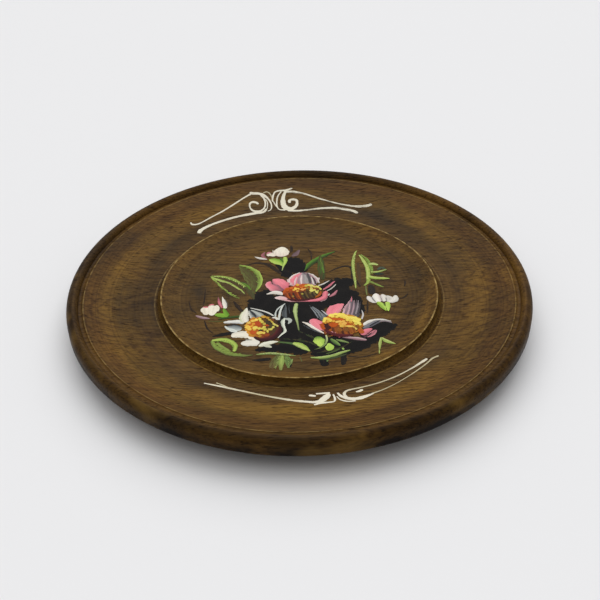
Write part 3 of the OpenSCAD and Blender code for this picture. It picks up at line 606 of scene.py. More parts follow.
TWIG = "#2a211b"
for path in (
        [(-24, 33, 0.4), (-18, 34.4, 0.8), (-12, 31.6, 1.2), (-8, 25, 1.4), (-5.6, 21, 1.0)],
        [(34, -1.4, 0.7), (32.4, 8, 1.1), (33.8, 16.6, 1.0), (31, 20, 0.8), (25, 18.8, 0.6),
         (20.6, 16.4, 0.3)],
        [(-49.4, 16, 0.2), (-51, 7, 0.4), (-52.6, 0.6, 0.3)],
        [(-59.6, 6, 0.25), (-59.4, -1, 0.5), (-57, -5.6, 0.4)],
        [(-53.8, -12.8, 0.3), (-53.2, -20, 0.5), (-50.8, -24.8, 0.3)],
        [(13.8, 42, 0.3), (14.6, 37, 0.5), (13.4, 30.6, 0.3)],
        [(5, 47.6, 0.5), (4.6, 44, 0.9), (3.4, 40.6, 0.6)],
        [(-36, 1, 0.4), (-34.6, -4.6, 1.1), (-32.6, -10.6, 0.8)],
        [(59.4, -1.4, 0.4), (58.8, -4, 0.5), (57.6, -6.4, 0.3)],
        [(52, -17, 0.3), (55.4, -15.6, 0.5), (57.6, -13.4, 0.3)],
        [(34.6, -15, 0.3), (33, -21, 0.5), (31.6, -26, 0.4)],
        [(13, -58.6, 0.3), (20, -61.4, 0.5), (27.6, -60.6, 0.3)]):
    stroke(path, TWIG, dry=0.38)
lay_film("dark_twigs_paint", "dark_twigs", black_paint)


# ---- Leaves and stems --------------------------------------------------------------------
# Lime and green strokes in the second coat. The brush was loaded with two greens, so most
# strokes are lighter along one edge, and the thin ones let the wood show through.
LIME = "#abc259"
PALE_LIME = "#bdc976"
LEAF = "#8aa24a"
GREEN = "#5f8a2c"
DEEP_GREEN = "#31491c"
OLIVE = "#59592c"


def hatch(path, colours, count, long, lean, coat=4):
    """Small side strokes along a path, as on a toothed leaf, leaning lean degrees off its way."""
    for i in range(count):
        x, y = smooth_run(path, [(i + 0.4) / count])[0]
        x_on, y_on = smooth_run(path, [(i + 0.5) / count])[0]
        heading = math.atan2(y_on - y, x_on - x) + math.radians(lean)
        reach = long * (0.8 + 0.4 * math.sin(i * 2.4))
        stroke([(x, y, 0.28), (x + reach * math.cos(heading) * 0.5, y + reach * math.sin(heading) * 0.5,
                               0.22), (x + reach * math.cos(heading), y + reach * math.sin(heading), 0.1)],
               colours, coat, dry=0.15)


stroke([(-43.4, 25.4, 0.8), (-37, 18, 4), (-32, 11, 3.4), (-28.6, 5, 0.8)], "#4c4423", dry=0.5)
stroke([(-29, 18, 1.6), (-26.6, 12, 2), (-25.2, 4, 1.4), (-25, 0, 0.4)], "#48522d", dry=0.35)
stroke([(-45, 26.8, 0.3), (-42.6, 21, 0.7), (-41, 16.6, 0.6), (-38.6, 11, 0.6), (-35.6, 6, 0.45),
        (-32.4, 2.6, 0.3)], LEAF, 2, foot=LIME, dry=0.32)
stroke([(-44.6, 26.2, 0.4), (-40, 21.6, 0.9), (-36, 18.4, 0.7), (-33, 14, 0.6), (-30.6, 10, 0.55),
        (-29, 6.4, 0.3)], [LEAF, PALE_LIME], 3, dry=0.22)
stroke([(-44.6, 27, 0.5), (-39, 25.2, 0.9), (-34, 22, 1.1), (-30, 17, 0.9), (-27.6, 12.6, 0.4)],
       [LIME, LEAF, "#6f8a3a"], 2, dry=0.25)
stroke([(-31, 18.6, 0.5), (-27, 14, 1.0), (-25.2, 9, 0.5)], GREEN, 2, dry=0.3)
stroke([(-27.6, 34, 0.6), (-24.2, 24, 3.2), (-22.6, 14, 3.2), (-24.4, 5.6, 1)],
       ["#4f522a", OLIVE, "#6a7139"], dry=0.3)
stroke([(-27.6, 34.4, 0.3), (-23, 31.4, 0.9), (-19.4, 26, 1.5), (-18.3, 20, 1.4), (-19.4, 13.6, 1.2),
        (-22.8, 7, 0.4)], [LIME, LEAF, "#6d7a3c"], 2, dry=0.18)
hatch([(-44, 25), (-41.4, 17.6), (-38.6, 11), (-34.6, 5)], LIME, 15, 1.7, 38)
hatch([(-43.4, 27), (-37, 24.2), (-31.6, 19), (-28, 13)], PALE_LIME, 15, 1.7, -42)
hatch([(-43, 24.8), (-38, 19.4), (-33.4, 14.4), (-30, 8.6)], LIME, 13, 1.3, 40)
hatch([(-26, 33.6), (-20.4, 27.8), (-18.6, 20), (-20.4, 11.6)], LEAF, 16, 2.6, -140)
lay_film("left_leaves_paint", "left_leaves", leaf_paint)

stroke([(7.4, 20.4, 0.5), (11, 25.6, 1.7), (17, 30.4, 1.7), (23, 33.6, 1.3), (28.6, 35.8, 0.3)],
       [GREEN, "#4c7a28", DEEP_GREEN, "#26331a"], dry=0.18)
stroke([(15.4, 9.6, 1.3), (16.6, 18, 2.1), (18, 26, 1.9), (19.2, 34, 0.5)],
       ["#3c5622", "#466a28", DEEP_GREEN], 2, foot="#30401f", dry=0.34)
stroke([(18.8, 31, 0.5), (18.2, 24, 0.7), (17.4, 16, 0.5)], "#5c8430", 3, dry=0.36)
lay_film("blade_leaves_paint", "blade_leaves", leaf_paint)

stroke([(31.3, -2.4, 0.3), (32.6, 5, 0.7), (34, 14, 0.9), (36, 23, 0.9), (39, 31, 0.65),
        (41.1, 34, 0.15)], ["#7f9a44", PALE_LIME, LIME, "#6d7f3a"], 2, dry=0.22)
stroke([(35, 3, 0.6), (36.6, 12, 1.1), (38.4, 22, 0.7)], "#5b4f2a", dry=0.5)
hatch([(31.8, 1), (33.2, 10), (35.2, 20), (38.4, 30)], PALE_LIME, 17, 1.7, -32)
lay_film("tall_leaf_paint", "tall_leaf", leaf_paint)

stroke([(42, 29.6, 0.3), (44.2, 24, 0.8), (44.6, 19, 0.9), (44.5, 14, 0.8), (43.4, 9, 0.3)],
       [LEAF, "#7c9a42"], dry=0.25)
stroke([(41, 29.4, 0.3), (41.9, 24, 0.9), (42.4, 16, 1.2), (41.2, 9, 1.2), (39.8, 4.6, 1.0)],
       [LEAF, LIME, PALE_LIME, LEAF], 2, dry=0.12)
stroke([(44, 18.8, 0.6), (46.6, 18.6, 1.1), (49, 16.8, 0.5)], "#b3c573", 3, dry=0.2)
stroke([(43, 11, 0.5), (47, 10.4, 0.75), (52.6, 11.6, 0.4)], [PALE_LIME, LEAF], 3, tip="#8ba05b",
       dry=0.15)
stroke([(40.6, 7, 1.2), (44, 5, 1.2), (48, 3.7, 0.95), (51.8, 2.6, 0.4)], [PALE_LIME, LIME, LEAF], 3,
       dry=0.12)
stroke([(40.2, 5, 1.3), (39, 1.6, 0.9), (36, -0.8, 0.25)], [LIME, LEAF], 2, dry=0.25)
stroke([(40.4, 2.4, 0.7), (43, -0.9, 0.8), (46.4, -4.6, 0.25)], LEAF, 2, dry=0.3)
stroke([(37.2, -0.6, 0.3), (36.4, -5, 0.4), (35.5, -10.4, 0.25)], "#717a45", 2, dry=0.25)
stroke([(47.4, 12.4, 0.5), (50, 14, 1.3), (52, 12.2, 0.5)], "#445444", 2, dry=0.25)
stroke([(44.2, 8.6, 0.5), (47, 8.4, 1.2), (50, 7.8, 0.4)], "#28332a", 2, dry=0.2)
hatch([(41.4, 28), (42.2, 20), (42, 12), (40.6, 6)], PALE_LIME, 16, 1.5, 35)
hatch([(42.6, 27.6), (44.4, 21), (44.6, 14)], LEAF, 9, 1.3, 40)
lay_film("comb_leaf_paint", "comb_leaf", leaf_paint)

stroke([(-52.4, -31, 0.8), (-51.6, -36, 1.3), (-48.4, -41, 1.7), (-44, -44.4, 1.6),
        (-38, -46.6, 0.9), (-33.6, -47, 0.3)], ["#8ba04e", LEAF, "#66743a"], 2, tip="#5f6536",
       dry=0.25)
stroke([(-50.2, -33, 0.9), (-47.8, -37.6, 1.2), (-44.4, -42, 0.8)], ["#7f9145", LEAF], dry=0.25)
stroke([(-52.4, -30.8, 0.7), (-47, -31.2, 1.5), (-43, -34, 1.6), (-41.3, -38, 1.3),
        (-42.6, -42.4, 0.8)], ["#7d9544", LIME, LIME, LEAF], 3, dry=0.08)
hatch([(-51.8, -33), (-50.4, -38), (-46, -43), (-39, -46.2)], LEAF, 16, 1.9, 48)
hatch([(-51, -31.6), (-45, -32.4), (-42, -37), (-42.4, -41)], "#74893f", 12, 1.2, -130)
lay_film("curled_leaf_paint", "curled_leaf", leaf_paint)

stroke([(-20.6, -49.6, 0.8), (-23, -54, 2.3), (-26.8, -60.4, 1.5)], ["#7a8c46", "#67713a", "#5d6233"],
       tip="#75643a", dry=0.3)
stroke([(-17.4, -51, 0.7), (-17, -56, 1.9), (-18.2, -62, 0.6)], ["#6f8c4c", "#536a38", "#7a9550"],
       tip="#5d6f3d", dry=0.25)
stroke([(-19, -50.2, 0.8), (-20.8, -56, 1.5), (-22.4, -63.4, 0.6)], ["#84984c", "#9fb25c", "#75883f"],
       2, tip="#7b7f44", dry=0.18)
stroke([(-14.6, -54.6, 0.3), (-16, -57.6, 0.4), (-18, -60.6, 0.2)], "#8aa25c", 3, dry=0.3)
stroke([(-10.6, -53.6, 0.3), (-10.4, -57.8, 0.25)], "#78864a", dry=0.4)
stroke([(-32, -47.2, 0.4), (-26, -47.6, 0.9), (-22, -48.7, 0.9), (-18, -50.4, 0.8),
        (-12.6, -52.6, 0.2)], ["#a3b36c", "#8b9a58", "#5d6a38"], 3, dry=0.2)
stroke([(-19.4, -39.4, 0.4), (-15, -41, 0.7), (-11.4, -42.8, 0.8)], "#4f6b3a", 2, dry=0.2)
stroke([(-12, -42, 0.9), (-9, -44.4, 1.9), (-6.6, -47.6, 1.4), (-4.8, -50.6, 0.3)],
       ["#87a24c", LIME, PALE_LIME, "#8da855"], 3, dry=0.1)
hatch([(-20.4, -51), (-22.4, -56), (-24.6, -61.6)], "#9fae62", 8, 1.6, -28)
hatch([(-17.6, -52), (-17.4, -57), (-18.6, -62)], "#8ea45a", 8, 1.4, 30)
hatch([(-29, -47.2), (-22, -48.6), (-15, -51.4)], "#b7c486", 10, 1.2, -24)
lay_film("skirt_leaves_paint", "skirt_leaves", leaf_paint)

stroke([(-16.4, -37.4, 0.6), (-10, -39.6, 1.5), (-4, -43, 1.5), (0.4, -48, 0.6)],
       ["#2c3c1e", "#1d2716"], dry=0.25)
stroke([(-7.4, -33, 0.5), (-3.6, -36.6, 1.4), (0, -41, 1.0)], ["#35492a", "#1f2b18"], dry=0.25)
stroke([(-2, -52.4, 0.6), (5, -52.2, 1.3), (12, -50.6, 0.9), (18, -47.4, 0.4)], "#26331c", dry=0.3)
stroke([(1.4, -39.4, 1.4), (1.6, -43.4, 2.9), (2, -48.6, 0.9)], ["#94b84a", "#bdd863", "#b6d45e"], 2,
       foot="#46702a")
stroke([(5.9, -46.2, 0.6), (5.8, -49.2, 2.1), (4.4, -52.2, 1.8)], ["#a4c456", "#bbd765"], 3,
       tip="#a5c653")
stroke([(6.1, -39.4, 0.4), (5.7, -43, 0.55), (3.8, -46.8, 0.5), (0.4, -49.1, 0.4), (-2.6, -49.8, 0.2)],
       ["#93a663", "#5c6b3a"], 4, foot="#c3cc93", tip="#3b4527")
stroke([(7.6, -42.8, 0.7), (9.2, -46, 1.3), (11.2, -49.6, 0.6)], ["#84a152", "#5b7a3b", "#2d3a22"], 2,
       dry=0.12)
stroke([(10.2, -44.2, 0.4), (13, -46, 0.8), (16.2, -48.2, 0.3)], ["#8fa260", "#5d7440"], 3, dry=0.15)
stroke([(12, -51.4, 0.6), (12.2, -53.2, 0.6)], "#93b158", 3, dry=0.1)
stroke([(2.6, -54.4, 0.3), (6, -53.6, 0.5), (10.6, -52, 0.4)], "#46582f", 2, dry=0.15)
stroke([(-2, -58.2, 0.3), (5, -58.4, 0.8), (13, -56.8, 0.4)], "#3c482b", 2, dry=0.25)
stroke([(1.6, -60.6, 0.4), (2.6, -59.6, 0.5)], "#66804a", 3)
stroke([(-5.6, -55.6, 0.4), (0, -56.9, 1.0), (6, -56.5, 1.0), (11, -55.1, 0.9), (15.4, -54.2, 0.3)],
       ["#b1c07a", "#99b05c", "#6f8442"], 3, dry=0.12)
lay_film("heart_leaves_paint", "heart_leaves", leaf_paint)

stroke([(33.6, -47.4, 0.5), (31.8, -51.6, 0.8), (30.4, -56, 0.5), (28.6, -61.6, 0.2)],
       ["#8a9b48", PALE_LIME], 2, dry=0.22)
stroke([(33.4, -47.6, 0.6), (35.4, -51.6, 1.2), (38.8, -55.6, 0.3)], [PALE_LIME, LEAF], 2, dry=0.2)
lay_film("sprig_leaves_paint", "sprig_leaves", leaf_paint)

stroke([(-3.2, -8.6, 0.9), (-5, -14, 1.2), (-5.8, -19, 0.9), (-6.2, -25, 0.6), (-6.8, -32.4, 0.3)],
       ["#7c9050", "#bccb8a", "#93a862"], 2, tip="#6b7a48", dry=0.12)
lay_film("centre_stem_paint", "centre_stem", leaf_paint)


# ---- Buds --------------------------------------------------------------------------------
# Three small buds at the edge of the bouquet: thick white petals touched with pink and grey,
# each held by a calyx in two strokes of green.
WHITE = "#ece5d0"
SHADE = "#a9a5a0"
PINK = "#dd7a85"

stroke([(3.2, 36.6, 0.5), (6, 38.4, 1.6), (8.9, 42.2, 0.4)], ["#5f4c4e", "#7c6468"], dry=0.25)
stroke([(-11.6, 38, 0.6), (-12.8, 41, 1.0), (-11, 44.2, 0.4)], ["#a8646b", "#7b5357"], dry=0.2)
stroke([(-17.6, 40.8, 0.2), (-15, 38.6, 0.9), (-11, 36.6, 0.5)], ["#e6e1d4", "#b9b3aa"], 2, dry=0.1)
stroke([(-10.4, 41.8, 0.4), (-9, 43, 0.8), (-7.4, 43, 0.4)], "#bd7780", 2)
stroke([(-10.6, 40.6, 0.9), (-8, 41, 1.8), (-5, 39.8, 2.2)], ["#e0d3c4", WHITE], 2)
stroke([(-6.4, 41.4, 0.6), (-6.2, 45.4, 0.15)], "#c9bfb2", 2)
stroke([(-2.8, 37.4, 3.4), (-2, 41, 4.9), (-0.9, 44.8, 3.3), (-0.3, 47.2, 0.9)],
       ["#e9e0cd", "#f0ead7", WHITE, "#e3dcc8"], 3, foot="#dfcfbf")
lay_film("top_bud_petals_paint", "top_bud_petals", bud_paint)

stroke([(-10, 36.2, 1.2), (-6.6, 33.8, 2.5), (-4, 30.4, 1.7), (-3.6, 28, 0.3)],
       ["#5d8a2e", "#8fb445", LIME, "#b9d264"], 2)
stroke([(-0.7, 36.8, 1.1), (-1.5, 32.4, 1.3), (-3.3, 28, 0.55), (-5, 23.4, 0.2)],
       ["#8eac45", "#bad368", "#7f9f3f"], 3, tip="#a3ae7b")
stroke([(-3.6, 36.6, 0.5), (-2.9, 34, 0.5), (-2.8, 31.4, 0.25)], "#4a6a28", 4)
lay_film("top_bud_calyx_paint", "top_bud_calyx", bud_paint)

stroke([(-57.8, -7.4, 0.4), (-54.6, -10, 1.1), (-50.8, -11.8, 0.3)], ["#b99fa2", "#7a5a60"], dry=0.2)
stroke([(-40.5, -3.6, 0.5), (-40, 0, 0.5), (-40.4, 3.6, 0.2)], "#6b655f", dry=0.25)
stroke([(-42.9, -3.8, 0.6), (-43.7, 1, 0.9), (-43.6, 6.6, 0.2)], ["#b05c66", "#cf7680", "#a05a62"], 2,
       tip="#6f4a4d", dry=0.1)
stroke([(-41.4, -4.8, 0.8), (-41.2, 0, 1.1), (-41.4, 6.4, 0.15)], ["#efe9da", "#d8d2c4"], 2)
stroke([(-52, -8.2, 1.4), (-52.4, -3.6, 2.1), (-52, -1, 1.0)], ["#e4dcc8", WHITE], 2)
stroke([(-49.2, -9.4, 1.4), (-48.8, -4.4, 3.2), (-48, -0.3, 1.8)], ["#efe8d4", WHITE], 3)
stroke([(-46.4, -6.6, 1.0), (-45.6, -3.4, 1.4), (-45.8, -0.8, 0.7)], WHITE, 3)
stroke([(-53, -0.9, 0.3), (-50.8, -1.5, 0.45), (-50, -1.6, 0.2)], PINK, 4)
stroke([(-49.8, -0.3, 0.3), (-48, 0.3, 0.5), (-46.8, -0.2, 0.25)], PINK, 4)
lay_film("left_bud_petals_paint", "left_bud_petals", bud_paint)

stroke([(-46.6, -13.2, 0.4), (-40, -13.1, 0.9), (-34, -13.7, 0.9), (-31.8, -15, 0.4)],
       ["#3f5a22", "#2c381b"], 2, dry=0.1)
stroke([(-52, -13.8, 0.3), (-47.6, -15, 0.6), (-43, -15.8, 0.3)], "#565026", dry=0.35)
stroke([(-47.8, -8.8, 0.8), (-44.8, -10.2, 1.7), (-40.8, -11.8, 1.1)], ["#83ad38", "#6d972e"], 3)
stroke([(-41, -12, 1.3), (-41.9, -8, 1.1), (-42.2, -4.4, 0.6)], ["#79a634", "#5b8626"], 4)
stroke([(-44.6, -6.8, 0.4), (-44.2, -5, 0.5)], "#3b4a22", 4)
lay_film("left_bud_calyx_paint", "left_bud_calyx", bud_paint)

stroke([(39.2, -17.4, 1.1), (36.8, -14.4, 1.9), (35.7, -10.8, 0.9)], ["#cfcac2", "#e6e1d8", SHADE], 2)
stroke([(43, -17.6, 1.5), (43.7, -14, 1.9), (43.8, -10.8, 0.9)], ["#cdbcb8", "#e5e0d4", "#d2cdc3"], 2)
stroke([(44.8, -18.2, 1.4), (46.5, -16, 2), (45.8, -12.6, 0.8)], ["#c6c1b8", "#ddd8cd"], 3)
stroke([(45.4, -18.6, 1.0), (48.8, -17.6, 1.9), (50.8, -13.6, 1.1)], ["#d6d1c5", "#e6e2d6", "#c5c1b6"],
       4)
stroke([(40.6, -17.6, 1.5), (40.1, -13.6, 2.6), (40.6, -9.4, 0.9)], ["#dcd7cd", "#f0ebdf", "#d9c8c2"],
       3)
stroke([(38.5, -17.2, 0.3), (37.8, -14, 0.4), (37.8, -11.8, 0.15)], "#928e8b", 4)
stroke([(42, -17.4, 0.3), (42.3, -14.6, 0.35), (42.2, -12, 0.15)], "#a19a97", 4)
stroke([(44.6, -17.4, 0.3), (45, -14.4, 0.35)], "#989490", 4)
lay_film("right_bud_petals_paint", "right_bud_petals", bud_paint)

stroke([(39.5, -17.2, 0.9), (41, -21, 1.6), (42, -26, 0.3)], ["#bdd968", "#9cbc4c", "#86a63f"], 5)
stroke([(44.7, -18.4, 1.1), (44.1, -22, 1.3), (43, -26.6, 0.3)], ["#a5c655", "#bbd667"], 5)
stroke([(42.2, -18.8, 0.3), (42.6, -22, 0.35)], "#5b7a31", 6)
lay_film("right_bud_calyx_paint", "right_bud_calyx", bud_paint)


# ---- The upper flower --------------------------------------------------------------------
# Pink petals, the tall one behind ribbed with white and grey, round a domed heart of dabs in
# orange, gold and pale yellow.
ROSE = "#e8828d"
GREY_ROSE = "#a8878c"


def dab(x, y, lean, long, wide, colours, coat=5):
    """One short touch of a loaded brush, lean degrees anticlockwise from the +X direction."""
    dx, dy = math.cos(math.radians(lean)) * long * 0.65, math.sin(math.radians(lean)) * long * 0.65
    stroke([(x - dx, y - dy, wide), (x, y, wide * 1.4), (x + dx, y + dy, wide * 0.8)], colours, coat,
           ragged=0.12)


stroke([(4.8, 2, 5), (4.8, 7.6, 8.2), (5, 12.4, 8.6), (5.6, 16.4, 6.4), (5.8, 19.2, 2.2)],
       ["#d9c9c2", ROSE, "#e5818c", "#b9949a", "#9b8f8f", "#6a6566", "#86696f", "#b18d93", "#dccfc9"],
       foot="#9c7f84")
stroke([(-3.4, 11.4, 0.35), (-2.4, 14.6, 0.4), (0.2, 17.6, 0.4), (4.6, 19.4, 0.3)], "#e4d8d0", 2)
stroke([(12.8, 7, 0.3), (12.8, 11, 0.35), (11.4, 15, 0.35), (8.8, 18, 0.25)], "#d9d2ca", 2)
stroke([(-0.7, 8.6, 0.3), (0.2, 12, 0.5), (2, 15.8, 0.25)], "#dcc6c2", 2, dry=0.25)
stroke([(1.4, 8, 0.4), (2, 12, 0.6), (3.4, 16, 0.3)], GREY_ROSE, 2, dry=0.3)
stroke([(3, 7.6, 0.3), (3.6, 12, 0.55), (5, 16.8, 0.3)], "#dfccc7", 3, dry=0.2)
stroke([(6.2, 8, 0.8), (6.4, 12, 1.0), (6.6, 17, 0.5)], "#a29c99", 2, dry=0.3)
stroke([(8, 8, 0.5), (8.4, 13, 0.7), (8.4, 18, 0.4)], "#4c4a4b", 3, dry=0.2)
stroke([(9.4, 6.6, 0.3), (9.7, 10, 0.4), (9.6, 13.6, 0.2)], "#ddd8d0", 4, dry=0.15)
stroke([(10.7, 6.4, 0.4), (10.9, 10, 0.4), (10.4, 14, 0.25)], "#3d383b", 3, dry=0.3)
stroke([(-5.4, 5.4, 2.2), (-7.4, 9.4, 4.2), (-9.4, 13.4, 3.4), (-11.6, 16.4, 0.8)],
       ["#a46b76", ROSE, "#ec8893", "#e2808b"], 2, foot="#c2606c")
stroke([(-8.2, 4.2, 1.8), (-12, 7.8, 3.2), (-14.4, 11.8, 2.2), (-13.2, 14.6, 0.6)],
       ["#e9a0a6", ROSE, "#d97a86", "#7f5f69"], 3, foot="#75545e")
stroke([(-17.6, 3, 0.25), (-13.4, 3.7, 1.4), (-10.4, 2.4, 1.5), (-9, 0.4, 0.7)],
       ["#e6e2d8", "#dcd5c9", "#c6bcb0"], 4)
stroke([(13.4, 0.5, 0.4), (17, 2.8, 0.7), (20.2, 5.8, 0.5), (21.8, 7.1, 0.1)], "#c8707c", 2, dry=0.1)
stroke([(11.6, 4.8, 0.3), (14.6, 5.8, 0.5), (18.8, 8.2, 0.2)], "#cdc8bf", 2, dry=0.2)
stroke([(15, -1.4, 0.2), (18, 0.4, 0.35), (20.6, 2.8, 0.35), (21.5, 4, 0.12)], "#c7c1b8", 3, dry=0.2)
stroke([(15.4, -6.8, 0.4), (18.4, -4.8, 1.0), (21, -1.6, 0.3)], ["#a3626b", "#c4808a", "#7d4a52"], 2,
       dry=0.15)
stroke([(14.9, -5.8, 0.4), (16, -4, 0.5)], "#cfcac2", 4)
stroke([(-13.8, -1.2, 0.8), (-10.2, -2.3, 1.7), (-6.6, -5, 1.3), (-2, -6.7, 0.8), (4, -8, 0.9),
        (9, -8.2, 1.5), (12.6, -6.6, 1.6), (13.9, -3.4, 1.6), (14.9, -1.2, 0.7)],
       ["#b85c68", ROSE, "#dd7884", "#8a4650"], 4, foot="#dfc9c4")
stroke([(9.6, -10, 0.3), (12.4, -8.8, 0.5), (14.4, -6.6, 0.2)], "#a8868a", 3, dry=0.35)
lay_film("upper_flower_petals_paint", "upper_flower_petals", flower_paint)

stroke([(-9.1, 0.4, 0.6), (-6.4, 0.6, 5), (1.7, 0.6, 7.7), (9.8, 0.4, 5), (12.5, 0, 0.6)],
       ["#c05a1a", "#a84715", "#6b3414", "#40241a", "#341214"], 4, tip="#5a4420")
for i in range(17):
    side = -7.6 + i * 1.1
    shade = ("#7d3414", "#a04a17", "#572310", "#8a3c14", "#3f2015")[i % 5] if side < 1 else \
        ("#4c3d1f", "#33271a", "#61502a", "#3d2f1b")[i % 4]
    drop = 6.4 * math.sqrt(max(0.1, 1 - ((side - 1.7) / 11) ** 2))
    stroke([(side, 1.4, 0.4), (side + 0.2, -drop * 0.45, 0.5), (side + 0.8, -drop * 0.95, 0.3)], shade,
           5, dry=0.25)
stroke([(-7.6, -3.8, 0.4), (-4, -5.8, 0.9), (1.6, -6.9, 0.8), (7, -6.4, 0.5)], "#45141a", 6)
stroke([(7.6, -6, 0.4), (10.4, -4, 0.8), (12, -1, 0.5)], "#a4541b", 6)
for x, y, lean, long, wide, shade in (
        (0.7, 7.7, 10, 1.6, 0.8, "#dba641"), (-1, 4.4, 0, 1.4, 1.1, "#f0cb55"),
        (-2.3, 3.4, 60, 1.2, 0.6, "#e8b848"), (0.4, 3.9, 20, 1.0, 0.7, "#e9c04c"),
        (-0.5, 1.9, 0, 1.4, 0.6, "#dca94a"), (2.4, 2.8, 8, 1.8, 0.6, "#e6a55c"),
        (4, 3.3, 30, 1.4, 0.5, "#d99a4c"), (5, 5.8, 60, 1.8, 0.7, "#c0b048"),
        (6.6, 6.2, 100, 1.6, 0.7, "#d3c65c"), (8, 5.2, 140, 1.8, 0.8, "#dcd170"),
        (9.4, 3.9, 130, 1.6, 0.6, "#d6ca62"), (7.4, 2.8, 90, 1.8, 0.6, "#c9be5a"),
        (7.2, 0.8, 170, 2.0, 0.9, "#dad069"), (8.9, 0.8, 100, 1.6, 0.5, "#cfc561"),
        (11, 3.6, 120, 2.0, 0.5, "#ddd36c"), (12.1, 1.4, 100, 2.0, 0.45, "#d4c965"),
        (9.5, -1.4, 105, 2.0, 0.5, "#d8cd66"), (10.4, -0.4, 60, 1.2, 0.4, "#c4b858"),
        (1.5, -1.2, 80, 1.2, 0.5, "#a3943c"), (-3.9, -2.4, 80, 1.4, 0.5, "#94702f"),
        (-3.7, 7.4, 20, 1.2, 0.5, "#5a2214"), (3.6, 5.6, 30, 1.6, 0.6, "#c8641e"),
        (-3.4, 5.4, 40, 1.6, 0.8, "#c4601c"), (-5.6, 4, 50, 1.8, 0.8, "#b5541a"),
        (2.2, 4.8, 160, 1.6, 0.5, "#cf7022"), (5.4, 3.4, 80, 1.4, 0.5, "#8d7a30"),
        (4.9, 1.6, 90, 1.6, 0.6, "#4a3a1e"), (6, -1.2, 90, 1.2, 0.5, "#7d7034")):
    dab(x, y, lean, long, wide, shade, 7)
lay_film("upper_flower_centre_paint", "upper_flower_centre", flower_paint)


# ---- The white flower --------------------------------------------------------------------
# White petals, the back ones drawn only in outline over the black, round a heart of yellow and
# orange dabs that turns dark red at its lower right.
stroke([(-26.6, -18, 3.2), (-27.2, -13, 2.9), (-29, -8.4, 0.8)],
       ["#dcd8ca", "#8d928f", "#4d5153", "#8f948f", "#b3b7ad"])
stroke([(-22.6, -18, 1.6), (-25, -13.4, 1.6), (-28.2, -9.2, 0.7)], ["#7f8582", "#b9bcb2", "#8b908c"], 2,
       dry=0.1)
stroke([(-26.6, -15.4, 0.5), (-27.6, -12.4, 0.7), (-29, -9, 0.3)], "#34363a", 3, dry=0.15)
stroke([(-33, -19.4, 2.4), (-33, -14.6, 2.5), (-31.2, -10, 1.5), (-30, -6.7, 0.2)],
       ["#c9cfa5", "#e4decb", "#e9e3d2", "#c9c6b8"], 3)
stroke([(-17.3, -17, 0.45), (-20, -13.4, 0.5), (-23.6, -10.4, 0.45), (-28.3, -7.3, 0.3)],
       "#d4d4ca", 3, dry=0.08)
stroke([(-19.6, -17.2, 0.35), (-23, -12.6, 0.4), (-27.6, -8.6, 0.25)], "#202024", 4)
stroke([(-18.6, -18.6, 1.1), (-16.6, -19.6, 1.2), (-15.2, -21, 0.3)], "#dad7cb", 3)
stroke([(-16.6, -18, 0.5), (-15.6, -14, 0.4), (-13.6, -10.9, 0.4), (-10.6, -8.6, 0.4),
        (-9.2, -7.4, 0.15)], "#c2c7c0", 2, dry=0.12)
stroke([(-15.3, -21.4, 0.4), (-13.9, -16, 0.6), (-12.4, -12, 0.5), (-10.5, -8.8, 0.2)], "#d2d5cd", 4)
stroke([(-11.8, -21, 1.5), (-11.2, -16, 1.7), (-9.8, -11, 1.2), (-9.3, -8, 0.3)],
       ["#54595a", "#3c4042", "#5a5f61", "#303335"], dry=0.15)
stroke([(-8.6, -17, 0.4), (-8, -12, 0.5), (-7.4, -9, 0.2)], "#43484a", dry=0.3)
stroke([(-11.9, -20.2, 0.4), (-13.4, -22.6, 1.0), (-14, -26, 0.9), (-13.8, -29, 0.65),
        (-14.1, -31.6, 0.75), (-16.4, -33.8, 0.5), (-18.8, -36.2, 0.2)],
       ["#e3e6d4", "#d3d7c5", "#a9b09e"], 3)
stroke([(-12.2, -21, 0.4), (-10, -21.6, 1.1), (-9.7, -23.4, 0.9), (-11.2, -25.6, 0.3)], "#b3b8ae", 2,
       dry=0.12)
stroke([(-44.2, -16.8, 0.7), (-40, -17.2, 1.3), (-36, -18, 1.5), (-33.8, -19.8, 1.2)],
       ["#dedcd4", "#e4e1d8", "#b5b6b4"], 2)
stroke([(-43.6, -21, 0.8), (-39.8, -22.6, 2.4), (-35.6, -24.2, 2.2)],
       ["#5b6062", "#858b8b", "#a9afac", "#d6dad2"])
stroke([(-44, -20, 0.4), (-42.8, -22.4, 0.8), (-40.2, -25, 1.2), (-38.4, -26.4, 0.6)], "#d5d9d0", 2)
stroke([(-43.4, -19.4, 0.25), (-39, -19.9, 0.5), (-36, -21.6, 0.2)], "#27282c", 3)
stroke([(-42, -29.8, 1.3), (-39, -28.8, 2.3), (-35, -29.4, 3), (-31.4, -31, 2.4)],
       ["#e3ddca", "#ece6d3", "#e0d9c5"], 2)
stroke([(-33.6, -26.8, 1.4), (-32, -32, 2), (-30, -36, 2.4)], ["#ebe0cb", WHITE], 3)
stroke([(-38.2, -36.6, 1.2), (-35, -37, 2.3), (-31, -37.2, 2.8), (-28.4, -37.4, 1.5)],
       ["#d9d6c9", "#e9e5d7", "#dcd8cb"], 3)
stroke([(-35.6, -34.2, 0.3), (-33.6, -34.4, 0.45), (-31.8, -35, 0.2)], "#8d8a80", 4)
stroke([(-27, -40.6, 1.0), (-24.8, -41.6, 1.1), (-23.2, -43.2, 0.4)], "#c6c7af", 2)
stroke([(-29.6, -40.8, 0.7), (-26, -39.6, 1.6), (-22, -39, 1.1), (-19, -39.2, 0.2)],
       ["#dfe0ca", "#e2e1cd", "#cbcbb4"], 3)
lay_film("white_flower_petals_paint", "white_flower_petals", flower_paint)

